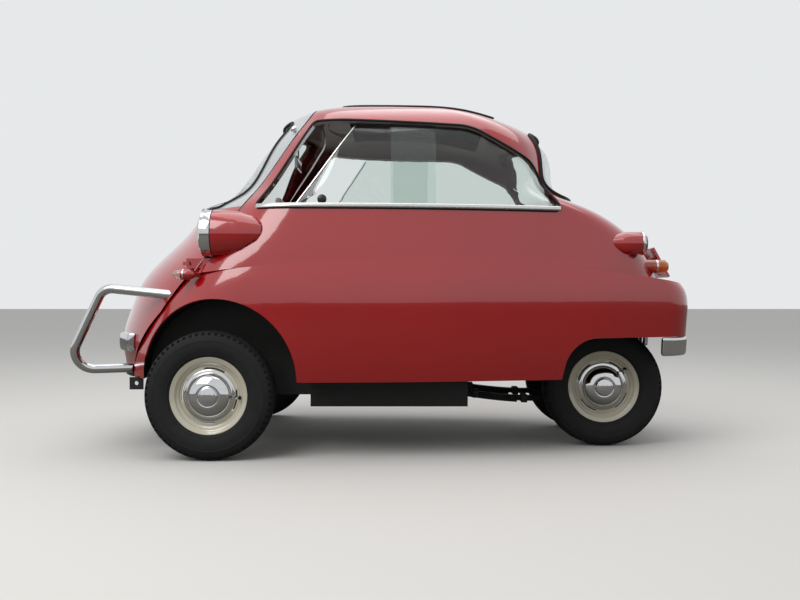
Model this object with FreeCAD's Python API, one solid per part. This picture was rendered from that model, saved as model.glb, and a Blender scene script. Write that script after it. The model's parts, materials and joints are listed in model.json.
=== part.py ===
import FreeCAD, Part
import math
import os

# Bubble car, family two-seater with one front door. Millimetres.
# Frame: the car faces -X, its left side is -Y, +Z is up.
# The origin is on the floor, at the middle of the car's length and width.

V = FreeCAD.Vector

# Wheels and their places
wheelbase = 1500.0
frontTrack = 1200.0
rearTrack = 520.0
tyreRadius = 236.0
tyreHalfWidth = 61.0
rimRadius = 141.0          # outer edge of the steel rim's flange
rimHalfWidth = 46.0
hubBore = 12.0
runGap = 0.5               # running clearance at pins and spindles
frontReach = 553.0         # hoop tip ahead of the front axle
tailReach = 338.0          # wing's tail behind the rear axle
frontAxleX = (frontReach - wheelbase - tailReach) / 2
rearAxleX = frontAxleX + wheelbase

# Body walls and gaps
wingHalf = 690.0           # half the car's width, at the rear wings
bodyWall = 36.0
wingWall = 44.0
doorGap = 7.0              # along the car, so 5 square to the slanting shut line
glassThick = 5.0
glassInset = 12.0          # glass face behind the body's outer face
slideStep = 10.0           # inner track of the sliding pane, further in than the fixed pane's
sillZ = 285.0

# Front wheel arch, and the wheel house inside it
archRadius = 298.0
archBack = 22.0            # arch centre behind the front axle
archZ = 290.0
houseThick = 8.0
houseInnerY = 392.0

# Rear skirt edge over the rear wheel
skirtZ = 440.0
skirtFrontX = -172.0       # from the rear axle
skirtCorner = 130.0

# Waterlines of the bubble, bottom to top. nose and wide are measured from the front axle, tail from
# the rear axle. Radii: nose, front corner, front side, rear side, rear corner, tail.
bubbleRows = [
    # z, nose, tail, half, wide, noseR, frontCornerR, frontSideR, rearSideR, rearCornerR, tailR
    (300, -452, 262, 645, 230, 760, 300, 3600, 3600, 190, 1000),
    (390, -462, 280, 660, 230, 760, 300, 3600, 3600, 190, 1000),
    (490, -449, 292, 668, 230, 760, 300, 3600, 3600, 190, 1000),
    (590, -413, 286, 676, 230, 760, 300, 3600, 3600, 190, 1000),
    (702, -345, 240, 674, 230, 760, 300, 3600, 3600, 190, 1000),
    (870, -178, 112, 647, 280, 740, 270, 3400, 3400, 200, 900),
    (942, -118, -5, 632, 320, 720, 260, 3200, 3200, 210, 850),
    (1000, -32, -125, 617, 350, 700, 250, 3000, 3000, 220, 800),
    (1140, 81, -165, 575, 430, 680, 230, 2700, 2700, 220, 700),
    (1236, 158, -228, 534, 500, 660, 210, 2300, 2300, 220, 650),
    (1290, 204, -335, 478, 560, 620, 190, 2000, 2000, 200, 600),
    (1330, 290, -470, 385, 600, 560, 170, 1500, 1500, 170, 500),
    (1344, 380, -600, 300, 620, 520, 150, 1200, 1200, 150, 420),
]

# Waterlines of the wings, from the sill up past the ridge, in the same columns
wingRows = [
    (sillZ, -452, tailReach - 16, wingHalf - 35, 230, 760, 300, 2500, 4800, 140, 3600),
    (430, -450, tailReach - 8, wingHalf - 8, 230, 760, 300, 2500, 4800, 140, 3600),
    (560, -412, tailReach, wingHalf, 230, 760, 300, 2500, 4800, 140, 3600),
    (620, -385, tailReach - 12, wingHalf - 1, 230, 760, 300, 2500, 4800, 140, 3600),
    (665, -355, tailReach - 53, wingHalf - 6, 230, 760, 300, 2500, 4800, 140, 3600),
    (780, -262, tailReach - 148, wingHalf - 22, 230, 760, 300, 2500, 4800, 140, 3600),
]

# Ridge over the wings, seen from the side: an arc through three points
ridgeArc = [(frontAxleX - 14, 684.0), (frontAxleX + 692, 731.0), (rearAxleX + 204, 659.0)]

# Shut line of the door, seen from the side: a line down the pillar, then two arcs
shutPoints = [(frontAxleX + 420, 1400.0), (frontAxleX - 51, 707.0), (frontAxleX - 128, 624.0),
              (frontAxleX - 197, 538.0), (frontAxleX - 281, 437.0), (frontAxleX - 339, 321.0)]

# Window outlines with the radius of each corner
sideWindow = [(frontAxleX + 160, 922.0, 12.0), (frontAxleX + 370, 1256.0, 30.0),
              (rearAxleX - 542, 1234.0, 200.0), (rearAxleX - 310, 1107.0, 110.0),
              (rearAxleX - 198, 920.0, 15.0)]                    # x, z, r
screenWindow = [(-440.0, 943.0, 38.0), (-292.0, 1284.0, 45.0), (292.0, 1284.0, 45.0),
                (440.0, 943.0, 38.0)]                            # y, z, r
rearWindow = [(-400.0, 985.0, 60.0), (-330.0, 1232.0, 70.0), (330.0, 1232.0, 70.0),
              (400.0, 985.0, 60.0)]                              # y, z, r
beltZ = 932.0              # top of the red door skin, foot of the windscreen frame

# Side panes: the fixed one behind, the sliding one pushed part of the way back
fixedPaneX = frontAxleX + 658
slidePaneX = (frontAxleX + 300, frontAxleX + 529, frontAxleX + 825)   # front foot, front head, rear edge
paneGap = 2.0              # fixed pane to the rear window

# Folding sunroof
sunroofX = (frontAxleX + 462, frontAxleX + 1066)
sunroofHalf = 350.0
sunroofLap = 22.0          # fabric beyond the opening
sunroofThick = 7.0

# Cabin
bulkheadX = rearAxleX - 372
panelThick = 14.0
shelfZ = 640.0
doorFootZ = 306.0
seatHalf = 560.0
seatBaseX = (rearAxleX - 980, rearAxleX - 440)
seatBaseZ = 455.0
cushionX = (rearAxleX - 1040, rearAxleX - 600)
cushionZ = 600.0
backX = (rearAxleX - 594, rearAxleX - 460)   # foot of the backrest
backTopX = (rearAxleX - 480, rearAxleX - 375)
backTopZ = 905.0
backHalf = 480.0

# Frame under the floor
railY = (335.0, 392.0)
railZ = 168.0              # underside of the deep middle stretch
railEndZ = 215.0
railX = (frontAxleX - 60, frontAxleX + 345, rearAxleX - 545)
springY = (125.0, 175.0)
springThick = 19.0

# Front wheels on their king pins
kingpinInset = 60.0        # king pin inboard of the wheel's middle
kingpinR = 8.0
forkHalf = 32.0            # half the gap of the fork
forkPlate = 12.0
spindleR = 12.0
hubR = 34.0
beamR = 24.0

# Door hinge, a butt hinge with three knuckles under the headlight
hingeX = frontAxleX - 80
hingeY = 606.0
hingeZ = 698.0
hingeKnuckle = 12.0
hingeR = 9.0
pinR = 4.0

# Steering wheel and its column, which swing out with the door
columnTop = (frontAxleX + 336, -300.0, 825.0)
columnTilt = 40.0          # degrees above level
columnR = 17.0
wheelRingR = 195.0
wheelGripR = 11.0

# Lamps
podY = 603.0
podZ = 824.0
podX = frontAxleX - 14     # face of the headlight's ring
podR = 86.0
lampClear = 6.0            # headlight to the closed door
tailLampX = rearAxleX + 100
tailLampY = 398.0
tailLampZ = 800.0
tailLampR = 44.0
flasherY = 632.0
flasherZ = 676.0

# Corners of a hoop bar's centre line: x from its foremost corner, y, z
hoopPoints = [(435, -548, 600), (160, -520, 628), (0, -480, 318), (285, -385, 320)]
hoopBends = (58.0, 72.0)
hoopR = 17.5


def circleMeet(centreA, radiusA, centreB, radiusB, side):
    """Upper crossing of two circles that lies further to the given side along X."""
    dx, dy = centreB[0] - centreA[0], centreB[1] - centreA[1]
    apart = math.hypot(dx, dy)
    along = (radiusA ** 2 - radiusB ** 2 + apart ** 2) / (2 * apart)
    rise = math.sqrt(radiusA ** 2 - along ** 2)
    foot = (centreA[0] + along * dx / apart, centreA[1] + along * dy / apart)
    meets = [(foot[0] + rise * dy / apart, foot[1] - rise * dx / apart),
             (foot[0] - rise * dy / apart, foot[1] + rise * dx / apart)]
    return max(meets, key=lambda p: side * p[0])


def reach(centre, towards, radius):
    """Point of the circle about centre that lies in the direction of another point."""
    dx, dy = towards[0] - centre[0], towards[1] - centre[1]
    size = math.hypot(dx, dy)
    return (centre[0] + dx * radius / size, centre[1] + dy * radius / size)


def arcEdge(centre, radius, start, end, z):
    """Short arc of a circle in a level plane."""
    mid = reach(centre, ((start[0] + end[0]) / 2, (start[1] + end[1]) / 2), radius)
    return Part.Arc(V(start[0], start[1], z), V(mid[0], mid[1], z), V(end[0], end[1], z)).toShape()


def eggWire(row, inset, drop):
    """Closed level outline of tangent arcs. inset = (nose, side, tail) moves it inward."""
    z, nose, tail, half, wide, noseR, frontR, frontSideR, rearSideR, rearR, tailR = row
    insetNose, insetSide, insetTail = inset
    z -= drop
    xNose, xTail = frontAxleX + nose + insetNose, rearAxleX + tail - insetTail
    xWide, half = frontAxleX + wide, half - insetSide
    noseR, tailR = noseR - insetSide, tailR - insetSide
    frontR, rearR = frontR - insetSide, rearR - insetSide
    frontSideR, rearSideR = frontSideR - insetSide, rearSideR - insetSide

    def quarter(sideR, cornerR, endR, xEnd, side):
        sideCentre = (xWide, half - sideR)
        endCentre = (xEnd - side * endR, 0.0)
        corner = circleMeet(sideCentre, sideR - cornerR, endCentre, endR - cornerR, side)
        first = reach(sideCentre, corner, sideR)
        second = reach(endCentre, corner, endR)
        return sideCentre, corner, endCentre, first, second

    def flip(p):
        return (p[0], -p[1])

    sideC, cornerC, endC, a, b = quarter(rearSideR, rearR, tailR, xTail, 1)
    sideF, cornerF, endF, c, d = quarter(frontSideR, frontR, noseR, xNose, -1)
    if frontSideR == rearSideR:
        rightSide = [arcEdge(sideC, rearSideR, c, a, z)]
        leftSide = [arcEdge(flip(sideC), rearSideR, flip(a), flip(c), z)]
    else:
        top = (xWide, half)
        rightSide = [arcEdge(sideF, frontSideR, c, top, z), arcEdge(sideC, rearSideR, top, a, z)]
        leftSide = [arcEdge(flip(sideC), rearSideR, flip(a), flip(top), z),
                    arcEdge(flip(sideF), frontSideR, flip(top), flip(c), z)]
    edges = rightSide + [arcEdge(cornerC, rearR, a, b, z), arcEdge(endC, tailR, b, flip(b), z),
                         arcEdge(flip(cornerC), rearR, flip(b), flip(a), z)]
    edges += leftSide + [arcEdge(flip(cornerF), frontR, flip(c), flip(d), z),
                         arcEdge(endF, noseR, flip(d), d, z), arcEdge(cornerF, frontR, d, c, z)]
    return Part.Wire(edges)


def eggLoft(rows, depth=0.0):
    """Smooth solid through the waterlines, depth inside the outer skin (outside when negative)."""
    wires = []
    for index, row in enumerate(rows):
        below, above = rows[max(index - 1, 0)], rows[min(index + 1, len(rows) - 1)]
        rise = above[0] - below[0]
        slopeSide = (above[3] - below[3]) / rise
        drop = depth * abs(slopeSide) / math.hypot(1, slopeSide)
        insets = []
        for column, sign in ((1, 1), (3, -1), (2, -1)):
            slope = sign * (above[column] - below[column]) / rise
            insets.append(depth * math.hypot(1, slope) - drop * slope)
        wires.append(eggWire(row, insets, drop))
    return Part.makeLoft(wires, True, False, False, 3)


def roundedFace(corners, place):
    """Flat face with rounded corners. place turns a corner's two numbers into a point."""
    points = [place(c[0], c[1]) for c in corners]
    count = len(points)
    starts, ends, mids = [], [], []
    for i, corner in enumerate(corners):
        before, here, after = points[i - 1], points[i], points[(i + 1) % count]
        inward, outward = (before - here).normalize(), (after - here).normalize()
        half = inward.getAngle(outward) / 2
        cut = corner[2] / math.tan(half)
        starts.append(here + inward * cut)
        ends.append(here + outward * cut)
        middle = (inward + outward).normalize()
        mids.append(here + middle * (corner[2] / math.sin(half) - corner[2]))
    edges = []
    for i in range(count):
        edges.append(Part.Arc(starts[i], mids[i], ends[i]).toShape())
        edges.append(Part.LineSegment(ends[i], starts[(i + 1) % count]).toShape())
    return Part.Face(Part.Wire(edges))


def sidePrism(corners, nearY=-900.0, farY=900.0):
    """Prism across the car from an outline in side view."""
    face = roundedFace(corners, lambda x, z: V(x, nearY, z))
    return face.extrude(V(0, farY - nearY, 0))


def frontPrism(corners, fromX, toX):
    """Prism along the car from an outline in front view."""
    face = roundedFace(corners, lambda y, z: V(fromX, y, z))
    return face.extrude(V(toX - fromX, 0, 0))


def box(x0, x1, y0, y1, z0, z1):
    return Part.makeBox(x1 - x0, y1 - y0, z1 - z0, V(x0, y0, z0))


def rod(start, end, radius):
    """Round bar between two points."""
    start, end = V(*start), V(*end)
    return Part.makeCylinder(radius, (end - start).Length, start, end - start)


def tube(points, radius, bend):
    """Round bar along straight runs joined by tangent arcs of one radius."""
    points = [V(*p) for p in points]
    edges, start = [], points[0]
    for i in range(1, len(points) - 1):
        back = (points[i - 1] - points[i]).normalize()
        on = (points[i + 1] - points[i]).normalize()
        half = back.getAngle(on) / 2
        size = bend[i - 1] if isinstance(bend, (list, tuple)) else bend
        first, last = points[i] + back * (size / math.tan(half)), points[i] + on * (size / math.tan(half))
        middle = points[i] + (back + on).normalize() * (size / math.sin(half) - size)
        edges.append(Part.LineSegment(start, first).toShape())
        edges.append(Part.Arc(first, middle, last).toShape())
        start = last
    edges.append(Part.LineSegment(start, points[-1]).toShape())
    path = Part.Wire(edges)
    ring = Part.Wire(Part.Circle(points[0], points[1] - points[0], radius).toShape())
    return path.makePipeShell([ring], True, False)


def turned(profile, centre, axis, angle=360):
    """Solid of revolution about a line through centre. profile lists (along the axis, radius)."""
    axis = V(*axis).normalize()
    side = V(0, 0, 1) if abs(axis.z) < 0.9 else V(1, 0, 0)
    side = (side - axis * side.dot(axis)).normalize()
    centre = V(*centre)
    points = [centre + axis * a + side * r for a, r in profile]
    points.append(points[0])
    face = Part.Face(Part.makePolygon(points))
    return face.revolve(centre, axis, angle)


def mirrored(shape):
    """The same shape on the car's other side."""
    return shape.mirror(V(0, 0, 0), V(0, 1, 0))


def pair(shape):
    return Part.makeCompound([shape, mirrored(shape)])


def shutPrism(shift):
    """Everything ahead of the door's shut line, moved back by shift."""
    p = [V(x + shift, -900, z) for x, z in shutPoints]
    front = frontAxleX - frontReach - 100
    edges = [
        Part.LineSegment(p[0], p[1]).toShape(), Part.Arc(p[1], p[2], p[3]).toShape(),
        Part.Arc(p[3], p[4], p[5]).toShape(),
        Part.LineSegment(p[5], V(p[5].x, -900, 200)).toShape(),
        Part.LineSegment(V(p[5].x, -900, 200), V(front, -900, 200)).toShape(),
        Part.LineSegment(V(front, -900, 200), V(front, -900, 1400)).toShape(),
        Part.LineSegment(V(front, -900, 1400), p[0]).toShape(),
    ]
    return Part.Face(Part.Wire(edges)).extrude(V(0, 1800, 0))


def belowRidge():
    """Everything lower than the arc of the ridge."""
    p = [V(x, -900, z) for x, z in ridgeArc]
    arc = Part.Arc(p[0], p[1], p[2]).toShape().Curve
    circle = Part.Circle(arc.Center, V(0, 1, 0), arc.Radius).toShape()
    disc = Part.Face(Part.Wire(circle)).extrude(V(0, 1800, 0))
    return disc.common(box(-1400, 1400, -900, 900, 0, 900))


def wheelHouse(extra):
    """Space of the left front wheel, grown by extra."""
    centre = (frontAxleX + archBack, 0, archZ)
    size = archRadius + extra
    drum = rod((centre[0], -900, archZ), (centre[0], -houseInnerY + extra, archZ), size)
    below = box(centre[0] - size, centre[0] + size, -900, -houseInnerY + extra, 100, archZ)
    return drum.fuse(below).removeSplitter()


def skirtCut():
    """Open space over the rear wheels, under the skirt's edge."""
    x = rearAxleX + skirtFrontX
    corners = [(x - 60, 150.0, 20.0), (x, skirtZ, skirtCorner), (x + 900, skirtZ, 20.0),
               (x + 900, 150.0, 20.0)]
    return sidePrism(corners)


def windowEdge(x, first, last):
    """Height of the straight edge between two window corners."""
    return first[1] + (last[1] - first[1]) * (x - first[0]) / (last[0] - first[0])


def slab(x0, x1, y0, y1, z0, z1, corner):
    """Soft block with rounded upright edges."""
    block = box(x0, x1, y0, y1, z0, z1)
    return block.makeFillet(corner, block.Edges)


parts = {}

# Skins of the car
bubble = eggLoft(bubbleRows)
bubbleInside = eggLoft(bubbleRows, bodyWall)
wings = eggLoft(wingRows)
wingsInside = eggLoft(wingRows, wingWall)
bubbleShell = bubble.cut(bubbleInside)
doorSide = shutPrism(0)
bodyCut = shutPrism(doorGap)
ridge = belowRidge()
leftHouse = wheelHouse(0)

# Openings
leftOpening = sidePrism(sideWindow, -900.0, -200.0)
screenOpening = frontPrism(screenWindow, frontAxleX - 200, frontAxleX + 500)
rearOpening = frontPrism(rearWindow, rearAxleX - 500, rearAxleX + 100)
roofOpening = box(sunroofX[0] + sunroofLap, sunroofX[1] - sunroofLap, -sunroofHalf + sunroofLap,
                  sunroofHalf - sunroofLap, 1250, 1400)

# Body
bodyShell = bubbleShell.cut(bodyCut).cut(ridge)
parts["body_shell"] = bodyShell.cut([leftOpening, mirrored(leftOpening), rearOpening, roofOpening])
wingShell = wings.cut(wingsInside).common(ridge)
parts["wings"] = wingShell.cut([bodyCut, leftHouse, mirrored(leftHouse), skirtCut()])

# Door
doorShell = bubbleShell.common(doorSide)
parts["door_panel"] = doorShell.common(box(-1400, 0, -900, 900, doorFootZ, beltZ))
parts["windscreen_frame"] = doorShell.common(box(-1400, 200, -900, 900, beltZ, 1400)).cut(screenOpening)

# Glass
glassLayer = eggLoft(bubbleRows, glassInset).cut(eggLoft(bubbleRows, glassInset + glassThick))
parts["windscreen"] = glassLayer.common(screenOpening).common(doorSide)
parts["rear_window"] = glassLayer.common(rearOpening)
fixedPane = leftOpening.common(box(fixedPaneX, 1200, -900, 0, 800, 1300))
rearPaneEdge = rearOpening.translated(V(0, -paneGap, 0))
parts["side_panes_fixed"] = pair(glassLayer.common(fixedPane).cut(rearPaneEdge))
foot, head = (sideWindow[0], sideWindow[4]), (sideWindow[1], sideWindow[2])
slidePoints = [V(x, -900, windowEdge(x, *edge)) for x, edge in
               ((slidePaneX[0], foot), (slidePaneX[1], head), (slidePaneX[2], head), (slidePaneX[2], foot))]
slideFace = Part.Face(Part.makePolygon(slidePoints + slidePoints[:1]))
slidePane = glassLayer.common(slideFace.extrude(V(0, 600, 0)))
slidePane.translate(V(0, slideStep, 0))
parts["side_panes_sliding"] = pair(slidePane)

# Folding sunroof over the roof opening
roofLayer = eggLoft(bubbleRows, -sunroofThick).cut(eggLoft(bubbleRows, -0.3))
parts["sunroof"] = roofLayer.common(box(sunroofX[0], sunroofX[1], -sunroofHalf, sunroofHalf, 1250, 1400))

# Floor pan, with the step that shows below the door
floorSlab = box(-1400, bulkheadX + panelThick, -900, 900, sillZ, sillZ + panelThick)
stepSlab = box(-1400, shutPoints[-1][0], -900, 900, sillZ, sillZ + panelThick)
houseOuter = wheelHouse(houseThick)
floorPan = wingsInside.common(floorSlab).fuse(wings.common(stepSlab)).removeSplitter()
parts["floor_pan"] = floorPan.cut([leftHouse, mirrored(leftHouse)])
housePanel = houseOuter.cut(leftHouse).common(wingsInside).cut(bodyCut)
housePanel = housePanel.common(box(-1400, 0, -900, 900, sillZ + panelThick, 800))
parts["wheel_houses"] = pair(housePanel)

# Bulkhead and parcel shelf over the engine
bulkhead = box(bulkheadX, bulkheadX + panelThick, -900, 900, sillZ + panelThick, shelfZ)
shelf = box(bulkheadX, 1400, -900, 900, shelfZ, shelfZ + panelThick)
parts["bulkhead"] = wingsInside.common(bulkhead.fuse(shelf)).removeSplitter().cut(parts["body_shell"])

# Bench
parts["seat_base"] = box(seatBaseX[0], seatBaseX[1], -seatHalf + 30, seatHalf - 30,
                         sillZ + panelThick, seatBaseZ)
parts["seat_cushion"] = slab(cushionX[0], cushionX[1], -seatHalf, seatHalf, seatBaseZ + 0.3, cushionZ, 30)
backFace = Part.Face(Part.makePolygon([
    V(backX[0], -backHalf, seatBaseZ + 0.3), V(backX[1], -backHalf, seatBaseZ + 0.3),
    V(backTopX[1], -backHalf, backTopZ), V(backTopX[0], -backHalf, backTopZ),
    V(backX[0], -backHalf, seatBaseZ + 0.3)]))
backBlock = backFace.extrude(V(0, 2 * backHalf, 0))
parts["seat_backrest"] = backBlock.makeFillet(25, backBlock.Edges)

# Frame rails and cross members
rail = box(railX[0], railX[2], -railY[1], -railY[0], railEndZ, sillZ)
rail = rail.fuse(box(railX[1], railX[2], -railY[1], -railY[0], railZ, railEndZ))
frontCross = box(railX[0], railX[0] + 120, -railY[0], railY[0], railEndZ, sillZ)
rearCross = box(railX[2] - 60, railX[2], -railY[0], railY[0], railEndZ, sillZ)
frame = rail.fuse([mirrored(rail), frontCross, rearCross]).removeSplitter()

# Tow plates under the front of the floor
towX, towY, towZ, towR = frontAxleX - 320, 426.0, 262.0, 8.0
towPlate = box(towX - 26, towX + 26, -towY - 4, -towY + 4, towZ - 24, sillZ)
towPlate = towPlate.cut(rod((towX, -towY - 10, towZ), (towX, -towY + 10, towZ), towR))
parts["frame"] = Part.makeCompound([frame, towPlate, mirrored(towPlate)])

# Front axle arms with a fork for each king pin
kingpinY = frontTrack / 2 - kingpinInset
forkBackY = kingpinY - 28
frontArm = rod((frontAxleX, -railY[1], tyreRadius), (frontAxleX, -forkBackY, tyreRadius), beamR)
forkSize = forkHalf + forkPlate
fork = box(frontAxleX - 20, frontAxleX + 20, -forkBackY, -forkBackY + forkPlate, tyreRadius - forkSize,
           tyreRadius + forkSize)
for low in (tyreRadius - forkSize, tyreRadius + forkHalf):
    fork = fork.fuse(box(frontAxleX - 20, frontAxleX + 20, -kingpinY - 18, -forkBackY, low, low + forkPlate))
fork = fork.cut(rod((frontAxleX, -kingpinY, tyreRadius - forkSize - 1),
                    (frontAxleX, -kingpinY, tyreRadius + forkSize + 1), kingpinR + runGap))
parts["front_axle"] = pair(frontArm.fuse(fork).removeSplitter())

# Knuckles: king pin, boss and spindle
knuckle = rod((frontAxleX, -kingpinY, tyreRadius - forkSize), (frontAxleX, -kingpinY, tyreRadius + forkSize),
              kingpinR)
knuckle = knuckle.fuse(rod((frontAxleX, -kingpinY, tyreRadius - forkHalf + 1),
                           (frontAxleX, -kingpinY, tyreRadius + forkHalf - 1), 18))
knuckle = knuckle.fuse(rod((frontAxleX, -kingpinY, tyreRadius), (frontAxleX, -frontTrack / 2 - 24, tyreRadius),
                           spindleR))
knuckle = knuckle.removeSplitter()
parts["knuckle_left"] = knuckle
parts["knuckle_right"] = mirrored(knuckle)

# Rear axle and its quarter springs
axleHalf = rearTrack / 2 - 60
rearBeam = rod((rearAxleX, -axleHalf + 30, tyreRadius), (rearAxleX, axleHalf - 30, tyreRadius), 30)
rearSpindle = rod((rearAxleX, -rearTrack / 2 - 24, tyreRadius), (rearAxleX, rearTrack / 2 + 24, tyreRadius),
                  spindleR)
parts["rear_axle"] = rearBeam.fuse(rearSpindle).removeSplitter()
springZ = tyreRadius + 30
leaf = box(railX[2], rearAxleX + 40, -springY[1], -springY[0], springZ, springZ + springThick)
parts["rear_springs"] = pair(leaf)

# Engine and gearbox as one plain block against the bulkhead
engineX = bulkheadX + panelThick
engine = box(engineX, engineX + 110, 30, 420, 300, 600)
parts["engine"] = engine.fuse(box(engineX, engineX + 110, -170, 30, 300, 470)).removeSplitter()

# Silencer with its pipes
pipeZ, pipeY = 318.0, 92.0
silencer = rod((rearAxleX + 160, -150, pipeZ), (rearAxleX + 160, 150, pipeZ), 52)
silencer = silencer.fuse(rod((engineX + 110, pipeY, pipeZ), (rearAxleX + 160, pipeY, pipeZ), 15))
silencer = silencer.fuse(rod((rearAxleX + 160, pipeY, pipeZ), (rearAxleX + 290, pipeY, pipeZ), 13))
parts["silencer"] = silencer.removeSplitter()

# Engine cover in the right wing
coverCorners = [(rearAxleX - 300, 470.0, 30.0), (rearAxleX - 300, 640.0, 30.0),
                (rearAxleX + 60, 640.0, 30.0), (rearAxleX + 60, 470.0, 30.0)]
coverCut = sidePrism(coverCorners, 0, 900)
coverFace = sidePrism([(x + (0.7 if x < rearAxleX - 200 else -0.7), z + (0.7 if z < 500 else -0.7), r - 0.7)
                       for x, z, r in coverCorners], 0, 900)
parts["engine_cover"] = parts["wings"].common(coverFace)
parts["wings"] = parts["wings"].cut(coverCut)

# Headlights
podAxis = (1, 0, 0)
doorSweep = eggLoft(bubbleRows, -lampClear).common(bodyCut)
pod = turned([(0, 0), (0, podR - 4), (20, podR), (70, podR), (130, 80), (190, 60), (226, 34), (240, 0)],
             (podX, -podY, podZ), podAxis)
parts["headlight_pods"] = pair(pod.cut(bubble).cut(doorSweep))
ring = turned([(0, 0), (0, podR), (-10, podR), (-15, podR - 8), (-25, podR - 33), (-31, 25), (-33, 0)],
              (podX, -podY, podZ), podAxis)
parts["headlight_glasses"] = pair(ring.cut(bubble).cut(doorSweep))

# Flashers on short stalks at the front of the wings
flasherX = frontAxleX - 50
flasher = turned([(0, 0), (0, 12), (-20, 19), (-52, 19), (-74, 13), (-84, 0)],
                 (flasherX, -flasherY, flasherZ), (1, 0, 0))
stalk = rod((flasherX - 4, -flasherY, flasherZ), (flasherX + 60, -flasherY + 26, flasherZ - 14), 8)
parts["front_flashers"] = pair(flasher.fuse(stalk).cut(wings.common(ridge)).removeSplitter())

# Tail lamps, and the round rear flashers below them
tail = turned([(-110, 0), (-100, 26), (-40, tailLampR), (30, tailLampR), (44, 30), (50, 0)],
              (tailLampX, -tailLampY, tailLampZ), (1, 0, 0)).cut(bubble)
rearFlasher = turned([(0, 0), (0, 26), (84, 26), (96, 16), (100, 0)], (rearAxleX + 150, -330, 712), (1, 0, 0))
rearFlasher = rearFlasher.cut(bubble)
parts["tail_lamps"] = Part.makeCompound([tail, mirrored(tail), rearFlasher, mirrored(rearFlasher)])

# Number plate holder on the tail
plateFoot, plateHead = V(rearAxleX + 296, 0, 672), V(rearAxleX + 230, 0, 792)
plateUp = (plateHead - plateFoot).normalize()
plateOut = V(plateUp.z, 0, -plateUp.x)
plateFace = Part.Face(Part.makePolygon([
    plateFoot + V(0, -160, 0), plateHead + V(0, -160, 0), plateHead + V(0, -160, 0) + plateOut * 10,
    plateFoot + V(0, -160, 0) + plateOut * 10, plateFoot + V(0, -160, 0)]))
plate = plateFace.extrude(V(0, 320, 0))
plateMid = (plateFoot + plateHead) * 0.5
plateHoleY, plateHoleR = 100.0, 4.0
for side in (-1, 1):
    foot = plateMid + V(0, side * plateHoleY, 0)
    arm = Part.makeCylinder(12, 90, foot, plateOut * -1).cut(bubble)
    plate = plate.fuse(arm)
    plate = plate.cut(Part.makeCylinder(plateHoleR, 40, foot + plateOut * 15, plateOut * -1))
parts["plate_holder"] = plate.removeSplitter()

# Bumperettes
rearBumper = eggLoft(wingRows, -6).cut(eggLoft(wingRows, 20))
parts["rear_bumperettes"] = pair(rearBumper.common(box(rearAxleX + 190, 1400, -600, -250, 365, skirtZ - 0.3)))
frontBumper = eggLoft(bubbleRows, -26).cut(bubble).common(doorSide)
parts["front_bumperettes"] = pair(frontBumper.common(box(-1400, 0, -448, -340, 384, 458)))

# Hoop bars, moved along the car until their tips are at the front reach
hoop = tube(hoopPoints, hoopR, hoopBends)
hoop.translate(V(frontAxleX - frontReach - hoop.optimalBoundingBox(False).XMin, 0, 0))
parts["hoop_bars"] = pair(hoop.cut(bubble).common(doorSide))

# Hinge leaves: the body's with two knuckles and the pin, the door's with one
bodyLeaf = box(hingeX, hingeX + 75, -hingeY - 12, -hingeY + 2, hingeZ, hingeZ + 3 * hingeKnuckle)
bodyLeaf = bodyLeaf.cut(box(hingeX - 30, hingeX + 14, -700, -500, hingeZ + hingeKnuckle - 1,
                            hingeZ + 2 * hingeKnuckle + 1))
bodyPad = box(hingeX + 50, hingeX + 85, -hingeY - 12, -560, hingeZ, hingeZ + 3 * hingeKnuckle).cut(doorSide)
hingeTop = hingeZ + 3 * hingeKnuckle
knuckles = [rod((hingeX, -hingeY, z), (hingeX, -hingeY, z + hingeKnuckle - 0.5), hingeR)
            for z in (hingeZ, hingeZ + 2 * hingeKnuckle + 0.5)]
pin = rod((hingeX, -hingeY, hingeZ), (hingeX, -hingeY, hingeTop), pinR)
bodyLeaf = bodyLeaf.fuse([bodyPad, pin] + knuckles).cut(bubble).cut(shutPrism(doorGap).common(
    eggLoft(bubbleRows, -3)))
parts["hinge_body"] = bodyLeaf.removeSplitter()
doorKnuckle = rod((hingeX, -hingeY, hingeZ + hingeKnuckle), (hingeX, -hingeY, hingeZ + 2 * hingeKnuckle), hingeR)
doorArm = box(hingeX - 20, hingeX + 6, -hingeY, -540, hingeZ + hingeKnuckle, hingeZ + 2 * hingeKnuckle)
doorLeaf = doorKnuckle.fuse(doorArm).cut(rod((hingeX, -hingeY, hingeZ), (hingeX, -hingeY, hingeTop), pinR + runGap))
parts["hinge_door"] = doorLeaf.cut(bubble).common(doorSide.fuse(box(hingeX - 30, hingeX + 10, -640, -590, 600, 800)))

# Instrument pod on the inside of the door, and the column
pod = slab(frontAxleX - 60, frontAxleX + 70, -390, -210, 838, 922, 20)
parts["instrument_pod"] = pod.common(bubbleInside)
tilt = math.radians(columnTilt)
down = V(-math.cos(tilt), 0, -math.sin(tilt))
top = V(*columnTop)
column = Part.makeCylinder(columnR, 560, top + down * 40, down)
column = column.fuse(Part.makeSphere(26, top + down * 600))
mid = top + down * 330
strut = rod((mid.x, mid.y, mid.z), (frontAxleX - 420, mid.y, mid.z), 14).common(bubbleInside)
parts["steering_column"] = column.fuse(strut).removeSplitter()

# Steering wheel: grip ring, three spokes and hub
grip = Part.makeTorus(wheelRingR, wheelGripR, top, down)
hub = Part.makeCylinder(30, 39.5, top, down)
wheel = grip.fuse(hub)
side = V(0, 1, 0)
upward = down.cross(side)
for angle in (0, 120, 240):
    a = math.radians(angle + 90)
    toward = side * math.cos(a) + upward * math.sin(a)
    wheel = wheel.fuse(Part.makeCylinder(7, wheelRingR, top + down * 6, toward))
parts["steering_wheel"] = wheel.removeSplitter()

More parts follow.
